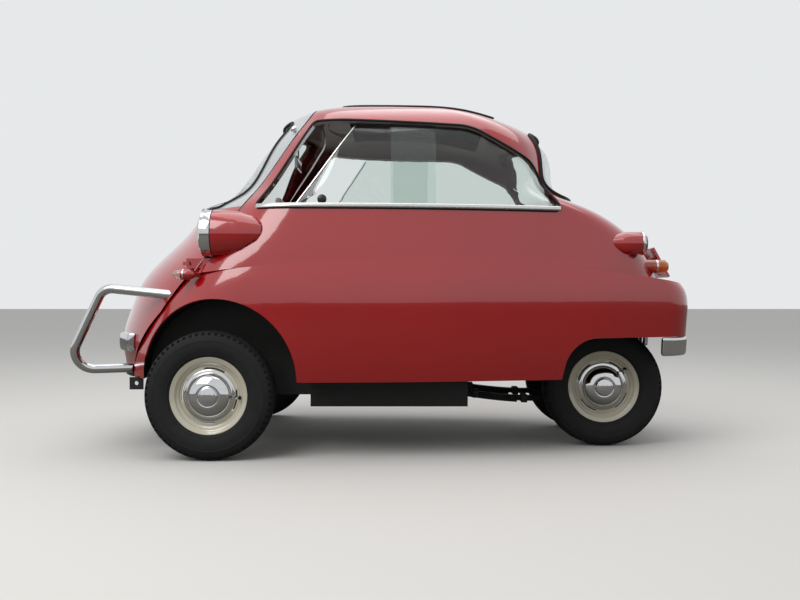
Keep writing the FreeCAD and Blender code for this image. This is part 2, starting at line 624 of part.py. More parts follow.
# Mirror under the header
mirror = slab(frontAxleX + 248, frontAxleX + 262, -85, 85, 1130, 1186, 5)
mirror = mirror.fuse(rod((frontAxleX + 255, 0, 1180), (frontAxleX + 255, 0, 1330), 5))
parts["mirror"] = mirror.common(bubbleInside).removeSplitter()

# Pedals and hand levers
pedals = []
for y, half in ((-350, 24), (-262, 24), (-200, 16)):
    stem = rod((frontAxleX - 140, y, sillZ + panelThick), (frontAxleX - 160, y, 395), 6)
    pedal = stem.fuse(box(frontAxleX - 168, frontAxleX - 152, y - half, y + half, 380, 425)).removeSplitter()
    pedals.append(pedal.cut(parts["floor_pan"]))
lever = rod((frontAxleX + 390, -670, 560), (frontAxleX + 390, -585, 600), 9)
lever = lever.fuse(rod((frontAxleX + 390, -590, 598), (frontAxleX + 370, -585, 690), 7))
lever = lever.fuse(Part.makeSphere(17, V(frontAxleX + 369, -585, 700)))
parts["driver_controls"] = Part.makeCompound(pedals + [lever.common(wingsInside).removeSplitter()])

# Door handle on the right of the door, a lever on a boss
handle = rod((frontAxleX - 190, 480, 760), (frontAxleX - 60, 560, 760), 8)
handle = handle.fuse(rod((frontAxleX - 72, 560, 760), (frontAxleX - 40, 510, 760), 11))
parts["door_handle"] = handle.cut(bubble).removeSplitter()


def wheelParts(name, x, y, out):
    """One wheel about its own axle. out points away from the car."""
    centre, axis = (x, y, tyreRadius), (0, out, 0)
    w = rimHalfWidth
    steel = turned([(-w, rimRadius), (-w + 4, rimRadius), (-w + 6, 128), (-25, 124), (-10, 113), (14, 113),
                    (27, 124), (w - 6, 128), (w - 4, rimRadius), (w, rimRadius), (w, 134), (34, 122),
                    (24, 108), (20, 92), (34, 88), (50, 76), (60, 50), (64, 28), (70, 24), (72, 0.001),
                    (26, 0.001), (26, hubBore + runGap), (-28, hubBore + runGap), (-28, hubR), (10, hubR),
                    (12, 100), (6, 106), (-14, 106), (-28, 118), (-w, 122)], centre, axis)
    b = tyreHalfWidth
    rubber = turned([(-39.5, 128.6), (-41.6, 141.6), (-47, 142), (-56, 155), (-b, 178), (-b + 1, 200),
                     (-b + 8, 220), (-b + 23, 231), (0, tyreRadius), (b - 23, 231), (b - 8, 220),
                     (b - 1, 200), (b, 178), (56, 155), (47, 142), (41.6, 141.6), (39.5, 128.6)], centre, axis)
    parts["rim_" + name] = steel
    parts["tyre_" + name] = rubber


wheelParts("front_left", frontAxleX, -frontTrack / 2, -1)
wheelParts("front_right", frontAxleX, frontTrack / 2, 1)
wheelParts("rear_left", rearAxleX, -rearTrack / 2, -1)
wheelParts("rear_right", rearAxleX, rearTrack / 2, 1)

os.makedirs("parts", exist_ok=True)
for name, shape in parts.items():
    print(name, shape.isValid(), round(shape.Volume / 1e6, 3), "litres", len(shape.Solids), "solids")
    shape.exportStep("parts/" + name + ".step")
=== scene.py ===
import json
import math
import bpy
import bmesh
from mathutils import Matrix, Vector
from mathutils.bvhtree import BVHTree


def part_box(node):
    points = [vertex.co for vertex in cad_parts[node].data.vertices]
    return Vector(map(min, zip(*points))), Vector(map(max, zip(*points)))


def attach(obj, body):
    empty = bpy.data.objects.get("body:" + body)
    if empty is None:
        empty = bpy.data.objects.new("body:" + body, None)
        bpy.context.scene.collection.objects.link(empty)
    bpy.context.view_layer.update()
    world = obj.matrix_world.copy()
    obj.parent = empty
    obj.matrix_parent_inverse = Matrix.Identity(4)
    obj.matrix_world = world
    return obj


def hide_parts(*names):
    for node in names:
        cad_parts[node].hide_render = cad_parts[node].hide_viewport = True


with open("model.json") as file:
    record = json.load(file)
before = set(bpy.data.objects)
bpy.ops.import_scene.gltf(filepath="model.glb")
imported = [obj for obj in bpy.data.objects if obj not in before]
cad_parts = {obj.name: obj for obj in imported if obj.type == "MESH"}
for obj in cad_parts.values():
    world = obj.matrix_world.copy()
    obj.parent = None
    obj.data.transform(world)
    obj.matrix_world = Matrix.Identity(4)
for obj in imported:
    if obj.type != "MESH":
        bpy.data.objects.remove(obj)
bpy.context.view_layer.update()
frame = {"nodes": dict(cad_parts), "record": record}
nodes = frame["nodes"]
print("frame loaded")


def middle(name):
    low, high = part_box(name)
    return (low + high) / 2


frontX = middle("tyre_front_left").x      # the front wheels' centre along the car
flanks = (("left", -1), ("right", 1))      # the left side is -Y


# Materials. Every scale below is worked out from a real size in millimetres.

def linear(text):
    # an sRGB hex colour as linear numbers
    parts = [int(text[i:i + 2], 16) / 255 for i in (1, 3, 5)]
    return [c / 12.92 if c <= 0.04045 else ((c + 0.055) / 1.055) ** 2.4 for c in parts] + [1.0]


noise = "ShaderNodeTexNoise"
waves = "ShaderNodeTexWave"
spread = "ShaderNodeMapRange"
mixed = "ShaderNodeMix"
relief = "ShaderNodeBump"


def addNode(tree, kind, settings=None, links=None):
    node = kind if isinstance(kind, bpy.types.Node) else tree.nodes.new(kind)
    for key, value in (settings or {}).items():
        if isinstance(key, int) or key in node.inputs:
            node.inputs[key].default_value = value
        else:
            setattr(node, key, value)
    for key, (source, output) in (links or {}).items():
        tree.links.new(source.outputs[output], node.inputs[key])
    return node


def newMaterial(name, settings):
    material = bpy.data.materials.new(name)
    material.use_nodes = True
    tree = material.node_tree
    shader = addNode(tree, tree.nodes["Principled BSDF"], settings)
    return material, tree, shader, {"Vector": (addNode(tree, "ShaderNodeTexCoord"), "Object")}


# Cellulose enamel sprayed on steel and polished: deep colour under a clear gloss, with a faint ripple
def paintEnamel(name, dark, light, gloss):
    material, tree, shader, place = newMaterial(name, {
        "Coat Weight": 1.0, "Coat Roughness": 0.03, "Coat IOR": 1.6, "IOR": 1.5})
    clouds = addNode(tree, noise, {"Scale": 1000 / 420, "Detail": 2.0}, place)
    tint = addNode(tree, mixed, {"data_type": "RGBA", 6: linear(dark), 7: linear(light)},
                   {0: (clouds, "Fac")})
    dust = addNode(tree, noise, {"Scale": 1000 / 35, "Detail": 6.0}, place)
    film = addNode(tree, spread, {"To Min": gloss * 0.8, "To Max": gloss * 1.3}, {"Value": (dust, "Fac")})
    orange = addNode(tree, noise, {"Scale": 1000 / 6, "Detail": 1.0}, place)
    ripple = addNode(tree, relief, {"Strength": 0.3, "Distance": 0.00002}, {"Height": (orange, "Fac")})
    addNode(tree, shader, None, {
        "Base Color": (tint, 2), "Roughness": (film, "Result"), "Normal": (ripple, "Normal")})
    return material


redEnamel = paintEnamel("redEnamel", "#A00008", "#B0020B", 0.18)
silverEnamel = paintEnamel("silverEnamel", "#B0B4B6", "#BCBFC0", 0.3)
creamEnamel = paintEnamel("creamEnamel", "#C2BCA7", "#CFC9B5", 0.3)
insideEnamel = paintEnamel("insideEnamel", "#5A060C", "#68070E", 0.35)


def wornMaterial(name, settings, dark, light, wear, film, grain):
    # broad noise tints the colour and sets the gloss, a finer texture raises the grain
    # wear: size in mm, detail, noise values of the dark and the light colour
    # film: lowest and highest roughness
    # grain: texture, its output, size in mm, detail, strength, depth in metres
    material, tree, shader, place = newMaterial(name, settings)
    size, detail, first, last = wear
    worn = addNode(tree, noise, {"Scale": 1000 / size, "Detail": detail}, place)
    patch = addNode(tree, spread, {"From Min": first, "From Max": last}, {"Value": (worn, "Fac")})
    tint = addNode(tree, mixed, {"data_type": "RGBA", 6: linear(dark), 7: linear(light)},
                   {0: (patch, "Result")})
    gloss = addNode(tree, spread, {"To Min": film[0], "To Max": film[1]}, {"Value": (worn, "Fac")})
    kind, output, size, detail, strength, depth = grain
    fine = addNode(tree, kind, {"Scale": 1000 / size, "Detail": detail}, place)
    raised = addNode(tree, relief, {"Strength": strength, "Distance": depth}, {"Height": (fine, output)})
    addNode(tree, shader, None, {
        "Base Color": (tint, 2), "Roughness": (gloss, "Result"), "Normal": (raised, "Normal")})
    return material


# Nickel and chromium plate on polished steel: a mirror with faint wipe marks
def chromePlate():
    material, tree, shader, place = newMaterial("chromePlate", {"Metallic": 1.0})
    stretched = addNode(tree, "ShaderNodeMapping", {"Scale": (1, 1, 4)}, place)
    wipe = addNode(tree, noise, {"Scale": 1000 / 45, "Detail": 5.0}, {"Vector": (stretched, "Vector")})
    tint = addNode(tree, mixed, {"data_type": "RGBA", 6: linear("#CCCED1"), 7: linear("#DDDEDE")},
                   {0: (wipe, "Fac")})
    film = addNode(tree, spread, {"To Min": 0.03, "To Max": 0.13}, {"Value": (wipe, "Fac")})
    addNode(tree, shader, None, {"Base Color": (tint, 2), "Roughness": (film, "Result")})
    return material


# Rolled aluminium trim, satin polished along its length
def brightAluminium():
    material, tree, shader, place = newMaterial("brightAluminium", {
        "Metallic": 1.0, "Base Color": linear("#D3D4D2")})
    along = addNode(tree, "ShaderNodeMapping", {"Scale": (0.05, 1, 1)}, place)
    rolled = addNode(tree, noise, {"Scale": 1000 / 2, "Detail": 3.0}, {"Vector": (along, "Vector")})
    film = addNode(tree, spread, {"To Min": 0.18, "To Max": 0.34}, {"Value": (rolled, "Fac")})
    lines = addNode(tree, relief, {"Strength": 0.3, "Distance": 0.00002}, {"Height": (rolled, "Fac")})
    addNode(tree, shader, None, {"Roughness": (film, "Result"), "Normal": (lines, "Normal")})
    return material


# Extruded or moulded rubber: dull black, greyed by age and chalky where it scuffs
def agedRubber(name, dark, light, smooth, rough):
    return wornMaterial(name, {"IOR": 1.52, "Specular IOR Level": 0.35}, dark, light, (28, 7.0, 0.35, 0.75),
                        (smooth, rough), (noise, "Fac", 1.4, 3.0, 0.45, 0.0001))


# Flat drawn window glass: clear with a faint green and a slow waviness
def windowGlass(name, colour):
    material, tree, shader, place = newMaterial(name, {
        "Base Color": linear(colour), "Roughness": 0.0, "Transmission Weight": 1.0, "IOR": 1.45})
    draw = addNode(tree, noise, {"Scale": 1000 / 120, "Detail": 1.0}, place)
    wave = addNode(tree, relief, {"Strength": 0.05, "Distance": 0.00005}, {"Height": (draw, "Fac")})
    addNode(tree, shader, None, {"Normal": (wave, "Normal")})
    return material


# Pressed lens glass with moulded flutes: bright lines that break up what lies behind
def pressedLens(name, colour, flute, transmission, rough):
    material, tree, shader, place = newMaterial(name, {
        "Base Color": linear(colour), "Roughness": rough, "Transmission Weight": transmission, "IOR": 1.5,
        "Coat Weight": 0.4, "Coat Roughness": 0.05})
    ribs = addNode(tree, waves, {
        "wave_type": "BANDS", "bands_direction": "Y", "Scale": 1000 / flute / math.pi}, place)
    flutes = addNode(tree, relief, {"Strength": 0.7, "Distance": 0.0006}, {"Height": (ribs, "Fac")})
    addNode(tree, shader, None, {"Normal": (flutes, "Normal")})
    return material


# Rubberised hood cloth: a coarse double-duck weave, drawn at 3 mm so that it shows
def hoodCloth():
    material, tree, shader, place = newMaterial("hoodCloth", {
        "IOR": 1.45, "Sheen Weight": 0.3, "Sheen Roughness": 0.5})
    fade = addNode(tree, noise, {"Scale": 1000 / 70, "Detail": 5.0}, place)
    tint = addNode(tree, mixed, {"data_type": "RGBA", 6: linear("#1B1A1C"), 7: linear("#2B292B")},
                   {0: (fade, "Fac")})
    warp = addNode(tree, waves, {
        "wave_type": "BANDS", "bands_direction": "X", "Scale": 1000 / 3 / math.pi / 2}, place)
    weft = addNode(tree, waves, {
        "wave_type": "BANDS", "bands_direction": "Y", "Scale": 1000 / 3 / math.pi / 2}, place)
    weave = addNode(tree, "ShaderNodeMath", {"operation": "MULTIPLY"}, {0: (warp, "Fac"), 1: (weft, "Fac")})
    film = addNode(tree, spread, {"To Min": 0.65, "To Max": 0.9}, {"Value": (fade, "Fac")})
    threads = addNode(tree, relief, {"Strength": 0.6, "Distance": 0.0003}, {"Height": (weave, 0)})
    addNode(tree, shader, None, {
        "Base Color": (tint, 2), "Roughness": (film, "Result"), "Normal": (threads, "Normal")})
    return material


# Moulded plastic: even colour, a fine matt grain from the mould and lighter handling marks
def mouldedPlastic(name, dark, light):
    return wornMaterial(name, {"IOR": 1.49, "Coat Weight": 0.15, "Coat Roughness": 0.2}, dark, light,
                        (25, 5.0, 0.0, 1.0), (0.28, 0.48), (noise, "Fac", 1.2, 1.0, 0.3, 0.00004))


# Chassis black brushed on thick: satin with a film of road dust
chassisPaint = wornMaterial("chassisBlack", {"IOR": 1.5}, "#141517", "#2A2823", (60, 8.0, 0.45, 0.75),
                            (0.42, 0.75), (noise, "Fac", 2.5, 2.0, 0.5, 0.00012))
chrome = chromePlate()
aluminium = brightAluminium()
sealRubber = agedRubber("sealRubber", "#0B0B0C", "#151516", 0.5, 0.75)
tyreRubber = agedRubber("tyreRubber", "#111213", "#202020", 0.66, 0.88)
matRubber = agedRubber("ribbedMatRubber", "#191818", "#282625", 0.6, 0.8)
clearGlass = windowGlass("windowGlass", "#EDF3F0")
lampGlass = pressedLens("flutedHeadlightGlass", "#F1F3F2", 9.0, 0.8, 0.05)
clearLens = pressedLens("clearFlasherLens", "#EDEAE0", 4.0, 0.75, 0.1)
redLens = pressedLens("redTailLens", "#A80C0A", 4.0, 0.35, 0.12)
amberLens = pressedLens("amberFlasherLens", "#E0700A", 4.0, 0.35, 0.12)
# Vinyl-coated cloth: dark red skin with a pressed leather grain and a soft sheen
redVinyl = wornMaterial("darkRedVinyl", {"IOR": 1.5, "Sheen Weight": 0.15, "Sheen Roughness": 0.4},
                        "#4C0A0E", "#641016", (90, 5.0, 0.0, 1.0), (0.38, 0.62),
                        ("ShaderNodeTexVoronoi", "Distance", 2.2, 0.0, 0.5, 0.0002))
roofCloth = hoodCloth()
ivoryPlastic = mouldedPlastic("ivoryPlastic", "#BDB59E", "#CBC4AE")
blackPlastic = mouldedPlastic("blackPlastic", "#141415", "#1E1E20")
# Sand-cast aluminium alloy: dull grey with a gritty skin and oil shadows
casting = wornMaterial("sandCasting", {"Metallic": 0.85}, "#4A4843", "#8A8C8C", (55, 7.0, 0.0, 1.0),
                       (0.45, 0.7), (noise, "Fac", 1.5, 3.0, 0.6, 0.0002))
print("materials made")


# Making pieces

bodyOf = {}
for bodyName, members in frame["record"]["behaviour"]["bodies"].items():
    for member in members:
        bodyOf[member] = bodyName


def finishPiece(name, bm, materials, body, angle=35, outward=True):
    bmesh.ops.remove_doubles(bm, verts=bm.verts, dist=0.00001)
    if outward:
        bmesh.ops.recalc_face_normals(bm, faces=bm.faces)
    mesh = bpy.data.meshes.new(name)
    bm.to_mesh(mesh)
    bm.free()
    for material in materials:
        mesh.materials.append(material)
    for face in mesh.polygons:
        face.use_smooth = True
    mesh.set_sharp_from_angle(angle=math.radians(angle))
    piece = bpy.data.objects.new(name, mesh)
    bpy.context.scene.collection.objects.link(piece)
    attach(piece, body)
    return piece


def mergedCopy(node):
    bm = bmesh.new()
    bm.from_mesh(nodes[node].data)
    bmesh.ops.remove_doubles(bm, verts=bm.verts, dist=0.00002)
    return bm


def dressed(node, name, materials, choose, angle=35):
    # the node's own shape with welded corners; choose gives a face's material from its middle and normal
    bm = mergedCopy(node)
    bm.normal_update()
    for face in bm.faces:
        face.material_index = choose(face.calc_center_median(), face.normal)
    piece = finishPiece(name, bm, materials, bodyOf[node], angle, False)
    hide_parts(node)
    return piece


def thickened(piece, thickness, offset):
    wall = piece.modifiers.new("thickness", "SOLIDIFY")
    wall.thickness = thickness
    wall.offset = offset


def lathe(bm, profile, centre, axis, steps=96):
    # profile lists (radius, distance along the axis) in millimetres
    axis = Vector(axis).normalized()
    side = axis.orthogonal().normalized()
    verts = [bm.verts.new(centre + axis * along / 1000 + side * radius / 1000) for radius, along in profile]
    edges = [bm.edges.new(pair) for pair in zip(verts, verts[1:])]
    bmesh.ops.spin(bm, geom=verts + edges, cent=centre, axis=axis, angle=2 * math.pi, steps=steps,
                   use_merge=True)


def turnedPiece(name, profile, centre, axis, steps, material, body, angle=40):
    bm = bmesh.new()
    lathe(bm, profile, centre, axis, steps)
    return finishPiece(name, bm, [material], body, angle)


def rod(bm, start, end, radius, faces=24):
    start, end = Vector(start), Vector(end)
    turn = (end - start).to_track_quat("Z", "Y").to_matrix().to_4x4()
    place = Matrix.Translation((start + end) / 2) @ turn
    bmesh.ops.create_cone(bm, cap_ends=True, cap_tris=False, segments=faces, radius1=radius,
                          radius2=radius, depth=(end - start).length, matrix=place)


def block(bm, low, high, edge=0.002):
    # box with small rounded edges
    size = Vector(high) - Vector(low)
    place = Matrix.Translation((Vector(low) + Vector(high)) / 2) @ Matrix.Diagonal((*size, 1))
    made = bmesh.ops.create_cube(bm, size=1, matrix=place)
    edges = list({e for v in made["verts"] for e in v.link_edges})
    bmesh.ops.bevel(bm, geom=edges, offset=edge, segments=3, profile=0.5, affect="EDGES", material=-1)


def tubePiece(name, points, radius, material, body, closed=False, sides=3, smooth=False):
    # round section along a line of points
    curve = bpy.data.curves.new("path", "CURVE")
    curve.dimensions = "3D"
    spline = curve.splines.new("NURBS" if smooth else "POLY")
    spline.points.add(len(points) - 1)
    for point, place in zip(spline.points, points):
        point.co = (*place, 1)
    spline.use_cyclic_u = closed
    if smooth:
        spline.order_u = 3
        spline.use_endpoint_u = not closed
        curve.resolution_u = 6
    curve.bevel_depth = radius
    curve.bevel_resolution = sides
    curve.use_fill_caps = True
    holder = bpy.data.objects.new("path", curve)
    mesh = bpy.data.meshes.new_from_object(holder)
    bm = bmesh.new()
    bm.from_mesh(mesh)
    bpy.data.objects.remove(holder)
    bpy.data.curves.remove(curve)
    bpy.data.meshes.remove(mesh)
    return finishPiece(name, bm, [material], body, 60, False)


def roundedOutline(corners, steps=10):
    # corners list (across, up, radius) in millimetres; the result is a closed line in metres
    points = []
    count = len(corners)
    for i, (u, v, radius) in enumerate(corners):
        here = Vector((u, v))
        back = (Vector(corners[i - 1][:2]) - here).normalized()
        on = (Vector(corners[(i + 1) % count][:2]) - here).normalized()
        half = back.angle(on) / 2
        centre = here + (back + on).normalized() * radius / math.sin(half)
        first = here + back * radius / math.tan(half) - centre
        last = here + on * radius / math.tan(half) - centre
        sweep = first.angle_signed(last)
        for k in range(steps + 1):
            arm = first.copy()
            arm.rotate(Matrix.Rotation(-sweep * k / steps, 2))
            points.append((centre + arm) / 1000)
    return points


def denser(points, step=0.02):
    # the same closed line with points no further apart than step
    out = []
    for a, b in zip(points, points[1:] + points[:1]):
        parts = max(1, math.ceil((b - a).length / step))
        out += [a.lerp(b, k / parts) for k in range(parts)]
    return out


def surfaceOf(*names):
    bm = bmesh.new()
    for name in names:
        bm.from_mesh(nodes[name].data)
    tree = BVHTree.FromBMesh(bm)
    bm.free()
    return tree


skin = surfaceOf("body_shell", "door_panel", "windscreen_frame", "wings")


def sideHit(x, z, side, tree=skin):
    # outermost point of the skin at x, z, seen from the car's left (-1) or right (1), and its normal
    return tree.ray_cast(Vector((x, side * 1.2, z)), Vector((0, -side, 0)))[:2]


def endHit(y, z, end=-1, tree=skin):
    return tree.ray_cast(Vector((end * 1.8, y, z)), Vector((-end, 0, 0)))[:2]


# Floor, light and camera

studio = {
    "floorColour": "#D8D6D2",
    # painted shade: a darker ground colour for reflections and bounce light, standing in for the dark ground
    # under the car
    "floorReflectedShade": "#6E6A63",   # what paint and chrome see of the ground
    "backColour": "#EEF0F2",
    "backStrength": 0.93,
    "fillStrength": 0.6,
    "floorSize": 30.0,
    "keyPower": 150.0,
    "keyPlace": (-2.6, -3.6, 4.2),
    "keySize": 3.5,
    "roofPower": 90.0,
    "roofPlace": (0.6, 0.5, 4.6),
    "roofSize": 5.0,
}


def makeStage():
    bm = bmesh.new()
    bmesh.ops.create_grid(bm, x_segments=1, y_segments=1, size=studio["floorSize"])
    mesh = bpy.data.meshes.new("studioFloor")
    bm.to_mesh(mesh)
    bm.free()
    floor = bpy.data.objects.new("studioFloor", mesh)
    bpy.context.scene.collection.objects.link(floor)
    material, tree, shader, place = newMaterial("paleFloor", {})
    # rays other than the camera's see a darker ground: painted shade in the car's reflections and bounce
    # light
    path = addNode(tree, "ShaderNodeLightPath")
    tone = addNode(tree, mixed, {
        "data_type": "RGBA", 6: linear(studio["floorReflectedShade"]), 7: linear(studio["floorColour"])},
        {0: (path, "Is Camera Ray")})
    cloud = addNode(tree, noise, {"Scale": 1000 / 900}, place)
    film = addNode(tree, spread, {"To Min": 0.8, "To Max": 0.9}, {"Value": (cloud, "Fac")})
    addNode(tree, shader, None, {"Base Color": (tone, 2), "Roughness": (film, "Result")})
    mesh.materials.append(material)

    world = bpy.data.worlds.new("studioWorld")
    bpy.context.scene.world = world
    world.use_nodes = True
    tree = world.node_tree
    tree.nodes.clear()
    path = addNode(tree, "ShaderNodeLightPath")
    seen = addNode(tree, "ShaderNodeMath", {"operation": "MAXIMUM"}, {
        0: (path, "Is Camera Ray"), 1: (path, "Is Glossy Ray")})
    clear = addNode(tree, "ShaderNodeMath", {"operation": "MAXIMUM"}, {
        0: (seen, 0), 1: (path, "Is Transmission Ray")})
    fill, back = [addNode(tree, "ShaderNodeBackground", {
        "Color": linear(studio["backColour"]), "Strength": studio[key]})
        for key in ("fillStrength", "backStrength")]
    both = addNode(tree, "ShaderNodeMixShader", None, {0: (clear, 0), 1: (fill, 0), 2: (back, 0)})
    addNode(tree, "ShaderNodeOutputWorld", None, {"Surface": (both, 0)})

    for name in ("key", "roof"):
        light = bpy.data.lights.new(name + "Light", "AREA")
        light.energy = studio[name + "Power"]
        light.shape = "SQUARE"
        light.size = studio[name + "Size"]
        holder = bpy.data.objects.new(name + "Light", light)
        bpy.context.scene.collection.objects.link(holder)
        holder.location = studio[name + "Place"]
        aim = Vector((0, 0, 0.5)) - holder.location
        holder.rotation_euler = aim.to_track_quat("-Z", "Y").to_euler()


view = {
    "behindFrontAxle": 0.692,      # the camera's place along the car
    "distance": 4.05,              # from the car's middle plane
    "height": 0.612,
    "focalPixels": 944.0,
    "frameWidth": 800.0,
    "pitch": 0.486,                # degrees below level
    "filmWidth": 36.0,
}


def makeCamera():
    data = bpy.data.cameras.new("photoCamera")
    data.sensor_width = view["filmWidth"]
    data.lens = view["focalPixels"] / view["frameWidth"] * view["filmWidth"]
    data.dof.use_dof = False
    camera = bpy.data.objects.new("photoCamera", data)
    bpy.context.scene.collection.objects.link(camera)
    camera.location = (frontX + view["behindFrontAxle"], -view["distance"], view["height"])
    camera.rotation_euler = (math.radians(90 - view["pitch"]), 0, 0)
    bpy.context.scene.camera = camera


makeStage()
makeCamera()
bpy.context.scene.view_settings.view_transform = "Standard"
print("stage, light and camera set")


# Carried-over solids get their real finish

cabinMiddle = Vector((frontX + 0.6, 0, 0.75))


def insideOrOut(place, normal):
    # 1 for a face that looks into the cabin
    outward = place - cabinMiddle
    outward.z *= 0.5
    return 1 if normal.dot(outward.normalized()) < -0.35 else 0


for node, outer, inner in (
        ("body_shell", redEnamel, insideEnamel), ("wings", redEnamel, chassisPaint),
        ("door_panel", redEnamel, insideEnamel), ("windscreen_frame", silverEnamel, insideEnamel)):
    dressed(node, node + "_skin", [outer, inner], insideOrOut, 30)
for node, material in (
        ("engine_cover", redEnamel), ("plate_holder", redEnamel), ("floor_pan", chassisPaint),
        ("wheel_houses", chassisPaint), ("bulkhead", insideEnamel), ("seat_base", chassisPaint),
        ("frame", chassisPaint), ("front_axle", chassisPaint), ("rear_axle", chassisPaint),
        ("rear_springs", chassisPaint), ("silencer", chassisPaint), ("engine", casting),
        ("knuckle_left", chassisPaint), ("knuckle_right", chassisPaint), ("hoop_bars", chrome),
        ("hinge_body", redEnamel), ("hinge_door", redEnamel), ("door_handle", chrome),
        ("windscreen", clearGlass), ("rear_window", clearGlass), ("side_panes_fixed", clearGlass),
        ("side_panes_sliding", clearGlass), ("steering_column", chassisPaint),
        ("driver_controls", chassisPaint), ("mirror", chrome), ("instrument_pod", silverEnamel),
        ("steering_wheel", ivoryPlastic)):
    if not nodes[node].data.materials:
        nodes[node].data.materials.append(material)
    nodes[node].material_slots[0].material = material
print("body painted")


# Wheels

wheel = {
    "rimSteps": 96,
    "tyreSteps": 120,
    "discThick": 0.003,
    "capThick": 0.001,
    "slotCount": 4,                # cooling slots between the disc and the rim
    "slotSpan": 44.0,              # degrees
    "slotTurn": {"front_left": 80.0, "front_right": 20.0, "rear_left": 52.0, "rear_right": 5.0},
    "valveTurn": {"front_left": -4.0, "front_right": 150.0, "rear_left": 38.0, "rear_right": 250.0},
    "valveRadius": 112.0,
    "valveOut": 0.027,
    "valveLean": 0.25,
    "valve": [(7.5, -1), (7.5, 2), (5, 5), (4, 9), (4, 22), (2.6, 23), (2.6, 25)],
    "valveCap": [(3.4, 24), (4, 25), (4, 33), (3.2, 35), (0.3, 35.4)],
    # (radius, distance outwards from the wheel's middle), all in millimetres
    "rim": [(141, -46), (141, -43), (130, -40), (127, -37), (124, -25), (112, -11), (112, 13), (124, 27),
            (127, 38), (137, 42), (141, 43.5), (141.5, 45.5), (140, 47.2), (137, 46.6), (133, 44.6),
            (129, 43.2), (124.5, 42), (122.8, 40), (121.8, 36), (119.5, 32), (113.5, 29.5), (111.5, 27.5),
            (109.5, 24), (108.5, 16), (108.5, -12), (120, -26), (122, -42), (130, -44.5)],
    "disc": [(110, 20), (106.5, 20.5), (101.5, 22), (97, 23.5), (94, 24), (80, 24), (60, 18), (30, 18)],
    "drum": [(28, -29), (86, -29), (93, -24), (94, -10), (91, -8), (91, 6), (94, 8), (94, 14), (80, 17),
             (28, 17)],
    "hubcap": [(96, 24), (95.8, 26), (93.5, 27.8), (88, 28.6), (83.5, 29), (81.2, 30.2), (80.4, 33),
               (79, 38), (75, 44), (68, 50), (58, 55.6), (47, 59.6), (38.5, 61.6), (36.6, 60.6),
               (35.4, 61.6), (34.6, 65), (32.6, 68), (29, 69.6), (25.5, 69.2), (24, 69.8), (14, 71),
               (5, 71.6), (0.5, 71.7)],
    "tyre": [(128.6, 41.5), (141.6, 42.5), (142.5, 47), (145, 49.5), (149, 52), (151, 54.6), (153.6, 54.6),
             (155, 55), (160, 57.4), (168, 59.6), (178, 60.9), (190, 60.9), (198, 60.3), (199.2, 60.9),
             (202, 60.6), (203, 59.4), (211, 57.2), (219, 53.8), (225, 50.2), (229.5, 46), (232.2, 41),
             (233.4, 35.5), (229, 34.5), (229, 31.5), (234, 30.5), (235, 17.5), (230.2, 16.6),
             (230.2, 13.4), (235.4, 12.5), (235.9, 3)],
    "notchDepth": 0.0035,
    "notchEdge": 0.0016,
    "tipEdge": 0.0002,             # edges round the hubcap's middle point are shorter than this
}


def ringFaces(bm, centre, axis, low, high):
    # faces whose middle lies between two radii (millimetres)
    found = []
    for face in bm.faces:
        arm = face.calc_center_median() - centre
        radius = (arm - axis * arm.dot(axis)).length * 1000
        if low < radius < high:
            found.append((face, arm))
    return found


def makeWheel(name):
    body = bodyOf["tyre_" + name]
    centre = middle("tyre_" + name)
    axis = Vector((0, 1 if centre.y > 0 else -1, 0))

    rim = turnedPiece("rim_steel_" + name, wheel["rim"] + wheel["rim"][:1], centre, axis, wheel["rimSteps"],
                      creamEnamel, body)
    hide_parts("rim_" + name)

    bm = bmesh.new()
    lathe(bm, wheel["disc"], centre, axis, wheel["rimSteps"])
    slots = []
    for face, arm in ringFaces(bm, centre, axis, 97.5, 101.2):
        turn = math.degrees(math.atan2(arm.z, -arm.x * axis.y)) - wheel["slotTurn"][name]
        if (turn + wheel["slotSpan"] / 2) % (360 / wheel["slotCount"]) < wheel["slotSpan"]:
            slots.append(face)
    bmesh.ops.delete(bm, geom=slots, context="FACES")
    disc = finishPiece("wheel_disc_" + name, bm, [creamEnamel], body, 50)
    thickened(disc, wheel["discThick"], 0)

    turnedPiece("brake_drum_" + name, wheel["drum"] + wheel["drum"][:1], centre, axis, 64, chassisPaint,
                body, 35)

    bm = bmesh.new()
    lathe(bm, wheel["hubcap"], centre, axis, wheel["rimSteps"])
    tip = [e for e in bm.edges if e.is_boundary and e.calc_length() < wheel["tipEdge"]]
    bmesh.ops.holes_fill(bm, edges=tip, sides=0)
    cap = finishPiece("hubcap_" + name, bm, [chrome], body, 50)
    thickened(cap, wheel["capThick"], -1)

    turn = math.radians(wheel["valveTurn"][name])
    out = Vector((-math.cos(turn) * axis.y, 0, math.sin(turn)))
    foot = centre + out * wheel["valveRadius"] / 1000 + axis * wheel["valveOut"]
    lean = axis - out * wheel["valveLean"]
    turnedPiece("valve_" + name, wheel["valve"], foot, lean, 24, sealRubber, body)
    turnedPiece("valve_cap_" + name, wheel["valveCap"], foot, lean, 24, chrome, body)

    bm = bmesh.new()
    half = wheel["tyre"]
    other = [(radius, -along) for radius, along in reversed(half)]
    lathe(bm, half + other + half[:1], centre, axis, wheel["tyreSteps"])
    bm.normal_update()
    cuts = []
    for low, high, every in ((219.5, 228.5, 2), (232.0, 233.3, 2), (234.2, 234.9, 3)):
        for face, arm in ringFaces(bm, centre, axis, low, high):
            turn = math.degrees(math.atan2(arm.z, arm.x)) % 360
            shift = 1 if arm.dot(axis) > 0 else 0
            if (int(turn / 360 * wheel["tyreSteps"]) + shift) % every == 0 and face.calc_area() > 0.00003:
                cuts.append(face)
    bmesh.ops.recalc_face_normals(bm, faces=bm.faces)
    bmesh.ops.inset_individual(bm, faces=cuts, thickness=wheel["notchEdge"], depth=-wheel["notchDepth"])
    tyre = finishPiece("tyre_rubber_" + name, bm, [tyreRubber], body, 28)
    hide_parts("tyre_" + name)


